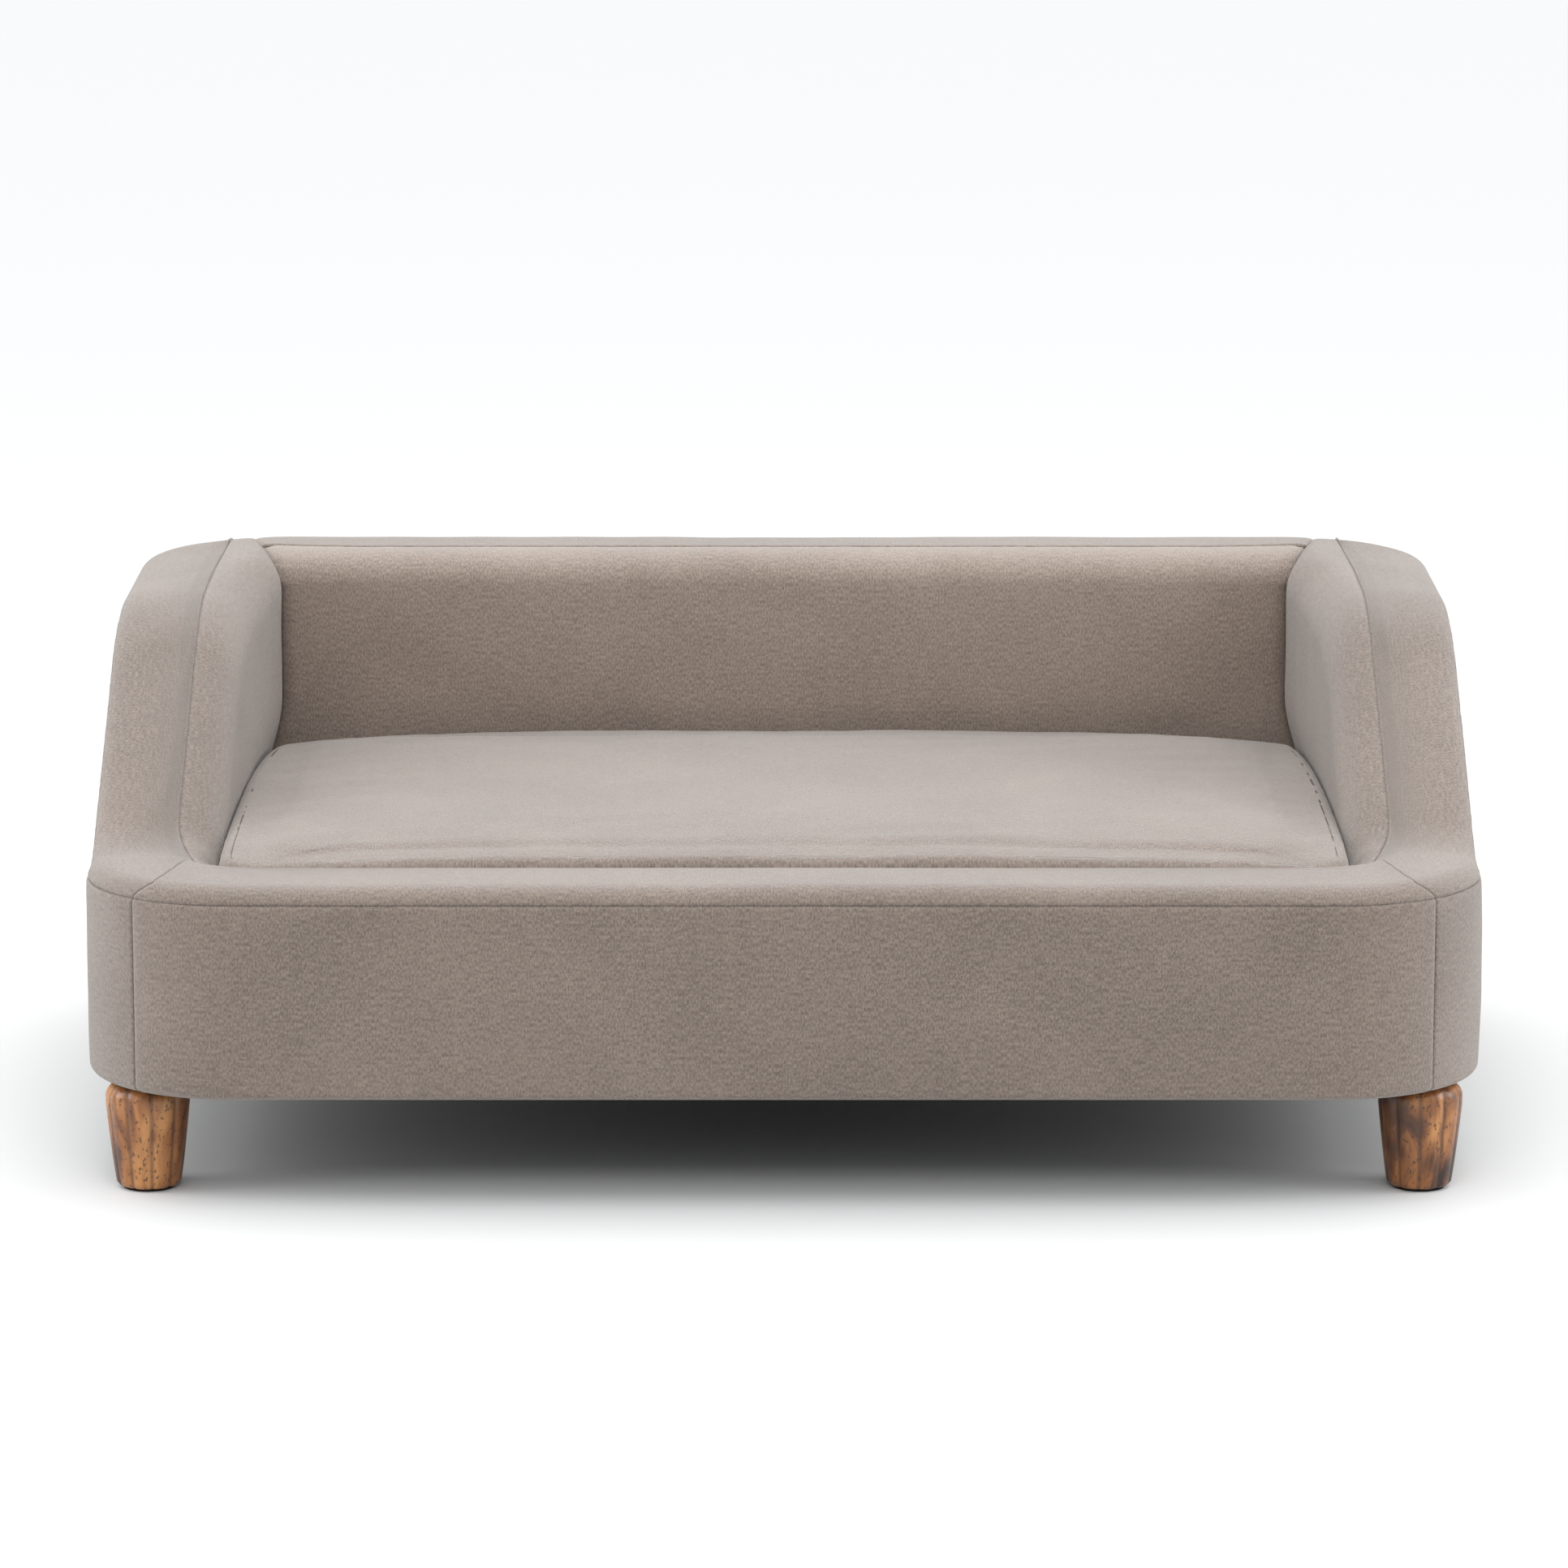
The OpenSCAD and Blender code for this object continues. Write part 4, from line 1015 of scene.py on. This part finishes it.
# The cover is blown up by air pressure from a slightly smaller form, and the fine form is laid onto it.
bladder = weld(grid_mesh("bladder", cushion_surface(0.002, 200, 1)[0], cloth, round_it=True))
net = bladder.modifiers.new("net", "REMESH")
net.mode = "VOXEL"
net.voxel_size = 0.006
bladder.data = as_it_stands(bladder)
bladder.modifiers.clear()
press = bladder.modifiers.new("press", "CLOTH")
press.settings.use_pressure = True
press.settings.uniform_pressure_force = 4.0
press.settings.quality = 4
press.settings.effector_weights.gravity = 0
for step in range(1, 21):
    bpy.context.scene.frame_set(step)
swollen = as_it_stands(bladder)
bladder.modifiers.clear()
bpy.context.scene.frame_set(1)
bladder.data = swollen
laid_over = grid_mesh("laid_over", cushion_grid, cloth, round_it=True)
cling = laid_over.modifiers.new("cling", "SHRINKWRAP")
cling.target = bladder
cling.wrap_method = "NEAREST_SURFACEPOINT"
clung = laid_over.evaluated_get(bpy.context.evaluated_depsgraph_get()).data
found = np.zeros(len(clung.vertices) * 3, np.float32)
clung.vertices.foreach_get("co", found)
moved = found.reshape(cushion_grid.shape).astype(float) - cushion_grid
# Sharp folds are eased out, as the foam inside does: neighbours are averaged round the form and over
# 20 mm along it, the movement grows slowly away from the seams, and it levels off at 4 mm.
for _ in range(14):
    moved = (moved + np.roll(moved, 2, 1) + np.roll(moved, -2, 1)) / 3
held_up = lengths(cushion_grid, 0)
reach = np.exp(-((held_up[:, None] - held_up[None]) / 0.020) ** 2) * np.gradient(held_up, axis=0)[None]
moved = np.einsum("ijc,jck->ick", reach, moved) / reach.sum(1)[..., None]
from_edge = np.minimum(np.abs(held_up - held_up[low_row]), np.abs(held_up - held_up[top_row]))[..., None]
grown = np.clip((from_edge - 0.004) / 0.090, 0, 1)
moved = moved * grown ** 2 * (3 - 2 * grown)
far = np.linalg.norm(moved, axis=-1, keepdims=True)
cushion_grid = cushion_grid + moved * 0.004 * np.tanh(far / 0.004) / np.maximum(far, 1e-9)
for spent in (laid_over, bladder):
    bpy.data.objects.remove(spent, do_unlink=True)

seat_x, seat_y = cushion_grid[..., 0], cushion_grid[..., 1]
seat_up = lengths(cushion_grid, 0)
from_low = seat_up - seat_up[low_row:low_row + 1]
from_top = seat_up - seat_up[top_row:top_row + 1]
seat_seam = np.minimum(np.abs(from_low), np.abs(from_top))
seat_pucker = ripple(cushion_station + 0 * seat_x, 0 * seat_x, 0.011, 44)
seat_lie = 0.0009 * ripple(seat_x, seat_y, 0.13, 41) + 0.00035 * ripple(seat_x, seat_y, 0.04, 42)
seat_fold = ripple(cushion_station + 0 * seat_x, seat_up * 0.2, 0.016, 43)
seat_fold = np.exp(-seat_seam / 0.012) * 0.0004 * seat_fold
seat_out = outward(np.concatenate([cushion_grid[:, -2:], cushion_grid, cushion_grid[:, :2]], 1))[:, 2:-2]
seat_draw = pillow(seat_seam, 0.0035 + 0.0005 * seat_pucker, 0.0012)
seat_push = seat_fold + seat_lie * np.clip(seat_seam / 0.03, 0, 1) - seat_draw
seat_push = seat_push * (np.abs(seat_out[..., 2]) + 0.6 * (1 - np.abs(seat_out[..., 2])))
cushion_grid = cushion_grid + seat_out * seat_push[..., None]
cushion_grid[..., 2] = np.clip(cushion_grid[..., 2], seat_low[2], seat_high[2] + 0.006)
# The cover stays behind the zip's lips and clear of the arms.
cushion_grid[..., 1] = np.minimum(cushion_grid[..., 1], seat_high[1] - 0.0006)
side_reach = HALF_W - face_in(arm_station(np.clip(cushion_grid[..., 1], -0.228, 0.2))) - 0.0006
cushion_grid[..., 0] = np.clip(cushion_grid[..., 0], -side_reach, side_reach)
on_face = (np.arange(cushion_grid.shape[0]) > low_row) & (np.arange(cushion_grid.shape[0]) < top_row)
flat_uv = np.stack([seat_x, seat_y], -1)
face_uv = np.stack([cushion_station + 0 * seat_x, seat_up], -1)
cushion_uv = np.where(on_face[:, None, None], face_uv, flat_uv)
# The seams map places the cloth's dark seam line here: the stitching, with painted shade for the groove.
seam_uv = np.stack([cushion_station + 0 * seat_x, np.minimum(seat_seam + 0.0005, 0.05)], -1)
seat_cushion = weld(grid_mesh("seat_cushion", cushion_grid, cloth, cushion_uv, seam_uv, round_it=True))
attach(seat_cushion, "cushion")
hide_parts("cushion_cover")

core_grid = cushion_surface(0.008, 160, 1)[0]
core_grid[..., 2] = np.clip(core_grid[..., 2] + 0.002, seat_low[2] + 0.0035, seat_high[2] - 0.008)
seat_core = weld(grid_mesh("cushion_foam", core_grid, foam_finish, round_it=True))
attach(seat_core, "cushion")
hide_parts("cushion_core")

# ---- Zip at the back of the cushion ----
# A nylon coil zip on a woven tape, between two folded lips of the cover; the slider and its pull are zinc.
zip_mid = float((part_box("zip_slider")[0][2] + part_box("zip_slider")[1][2]) / 2)
ZIP_HALF = 0.296
ZIP_GAP = 0.0042
ZIP_Y = float(seat_high[1])


def zip_lip(side):
    """A folded edge: from inside the gap, round its fold, then flat to a sewn edge. side is 1 above the zip
    and -1 below."""
    x = np.linspace(-ZIP_HALF - 0.012, ZIP_HALF + 0.012, 260)[None, :]
    bend = np.linspace(-np.pi / 2, np.pi / 2, 9)[:, None]
    flat = np.linspace(0, 1, 6)[:, None]
    fold = 0.0007
    out = np.concatenate([-0.0012 + 0 * bend[:1], fold * np.sin(bend), fold - 0.0009 * flat ** 4])
    up = np.concatenate([0.004 + 0 * bend[:1], fold * (1 - np.cos(bend)), fold + 0.0015 + 0.0105 * flat])
    wave = 0.00025 * ripple(x, 0 * x, 0.012, 51 + side)
    y = ZIP_Y - 0.0004 + out + wave * (up / 0.012)
    z = zip_mid + side * (ZIP_GAP + up) + 0 * x
    grid = np.stack([x + 0 * y, y + 0 * z, z], -1)
    return grid if side < 0 else grid[:, ::-1]


for side, title in ((1, "upper"), (-1, "lower")):
    lip_grid = zip_lip(side)
    lip_uv = np.stack([lip_grid[..., 0], lip_grid[..., 2]], -1)
    lip_seam = np.stack([lip_grid[..., 0], np.abs(np.abs(lip_grid[..., 2] - zip_mid) - ZIP_GAP - 0.0105)], -1)
    lip = shelled(grid_mesh("zip_lip_" + title, lip_grid, cloth, lip_uv, lip_seam), 0.0005)
    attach(lip, "cushion")
    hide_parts("zip_panel")

tape_cloth, tape_tree, tape_shader = bare_finish("woven_tape", 0.75, 0.3)
tape_own = own_place(tape_tree)
tape_drawn = wire(tape_tree, "Mapping", {"Vector": tape_own, "Scale": (1.0, 1.0, 0.3)}).outputs["Vector"]
tape_ribs = noise(tape_tree, tape_drawn, 1500.0, 2.0)
tape_taupe = shades(tape_tree, tape_ribs, [(0.3, (0.11, 0.088, 0.075)), (0.7, (0.21, 0.17, 0.145))])
tape_tree.links.new(tape_taupe, tape_shader.inputs["Base Color"])
emboss(tape_tree, tape_shader, tape_ribs, 0.6, 0.0003)


def coil(side):
    """A nylon coil: a helix along x, flattened towards the tape, swept by a small hexagon."""
    turns = 230
    along = np.linspace(0, turns, turns * 7 + 1)[:, None]
    turn = 2 * np.pi * along * side
    ring = np.linspace(0, 2 * np.pi, 5, endpoint=False)[None, :]
    thick = 0.00032
    centre_y = ZIP_Y - 0.0011 + 0.0006 * np.cos(turn)
    centre_z = zip_mid + side * 0.0011 + 0.0012 * np.sin(turn)
    reach_y = np.cos(turn) * np.cos(ring) * thick
    reach_z = np.sin(turn) * np.cos(ring) * thick
    x = -ZIP_HALF + 2 * ZIP_HALF * along / turns + thick * np.sin(ring)
    return np.stack([x, centre_y + reach_y, centre_z + reach_z], -1)


tape_reach = ZIP_HALF + 0.008
tape_x, tape_v = np.meshgrid(np.linspace(-tape_reach, tape_reach, 80), np.linspace(-0.010, 0.010, 9))
tape_points = np.stack([tape_x, 0 * tape_x + ZIP_Y - 0.0021, zip_mid + tape_v], -1)[:, ::-1]
tape = shelled(grid_mesh("zip_tape_cloth", tape_points, tape_cloth), 0.0003)
for side, title in ((1, "upper"), (-1, "lower")):
    teeth = grid_mesh("zip_coil_" + title, coil(side), tape_cloth, round_it=True)
    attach(teeth, "cushion")
    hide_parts("zip_tape")
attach(tape, "cushion")
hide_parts("zip_tape")
dress("zip_slider", zinc)
dress("zip_pull", zinc)

# ---- Studio: a pale floor, soft overhead and side light, and the camera ----
# The camera stands in front of the bed, a little above it, and looks slightly down through a long lens.
floor_finish, _, floor_shader = bare_finish("pale_floor", 0.8, 0.2)
floor_shader.inputs["Base Color"].default_value = (0.62, 0.62, 0.62, 1)
floor_x, floor_y = np.meshgrid(np.linspace(-30, 30, 3), np.linspace(-20, 40, 3))
floor = grid_mesh("floor", np.stack([floor_x, floor_y, 0 * floor_x - 0.0002], -1), floor_finish)

world = bpy.data.worlds.new("studio")
bpy.context.scene.world = world
world.use_nodes = True
# The room is a large soft top light: weak at the horizon and stronger overhead.
sky = world.node_tree
sky_up = wire(sky, "SeparateXYZ", {"Vector": wire(sky, "TexCoord", {}).outputs["Generated"]}).outputs["Z"]
sky_glow = ranged(sky, sky_up, 0.0, 1.0, 0.34, 2.15)
sky.nodes["Background"].inputs["Color"].default_value = (0.975, 0.99, 1.0, 1)
sky.links.new(sky_glow, sky.nodes["Background"].inputs["Strength"])


def softbox(name, at, aim, size, watts):
    """A square area light at a point, turned towards another."""
    light = bpy.data.lights.new(name, "AREA")
    light.shape = "RECTANGLE"
    light.size, light.size_y = size
    light.energy = watts
    lamp = bpy.data.objects.new(name, light)
    lamp.location = at
    lamp.rotation_euler = (Vector(aim) - Vector(at)).to_track_quat("-Z", "Y").to_euler()
    bpy.context.collection.objects.link(lamp)


softbox("overhead", (0, 0.3, 2.3), (0, 0, 0.2), (2.2, 1.4), 10)
softbox("front_high", (0, -2.9, 2.3), (0, 0.2, 0.25), (2.0, 0.9), 19)
softbox("side_right", (2.4, -0.4, 1.0), (0.3, 0, 0.2), (1.2, 1.2), 24)
softbox("side_left", (-2.4, -0.4, 1.0), (-0.3, 0, 0.2), (1.2, 1.2), 24)

lens = bpy.data.cameras.new("camera")
lens.sensor_width = 36
lens.lens = 159.5
camera = bpy.data.objects.new("camera", lens)
camera.location = (0, -4.655, 1.1674)
camera.rotation_euler = (np.radians(90 - 11.524), 0, 0)
bpy.context.collection.objects.link(camera)
bpy.context.scene.camera = camera
bpy.context.scene.view_settings.view_transform = "Standard"
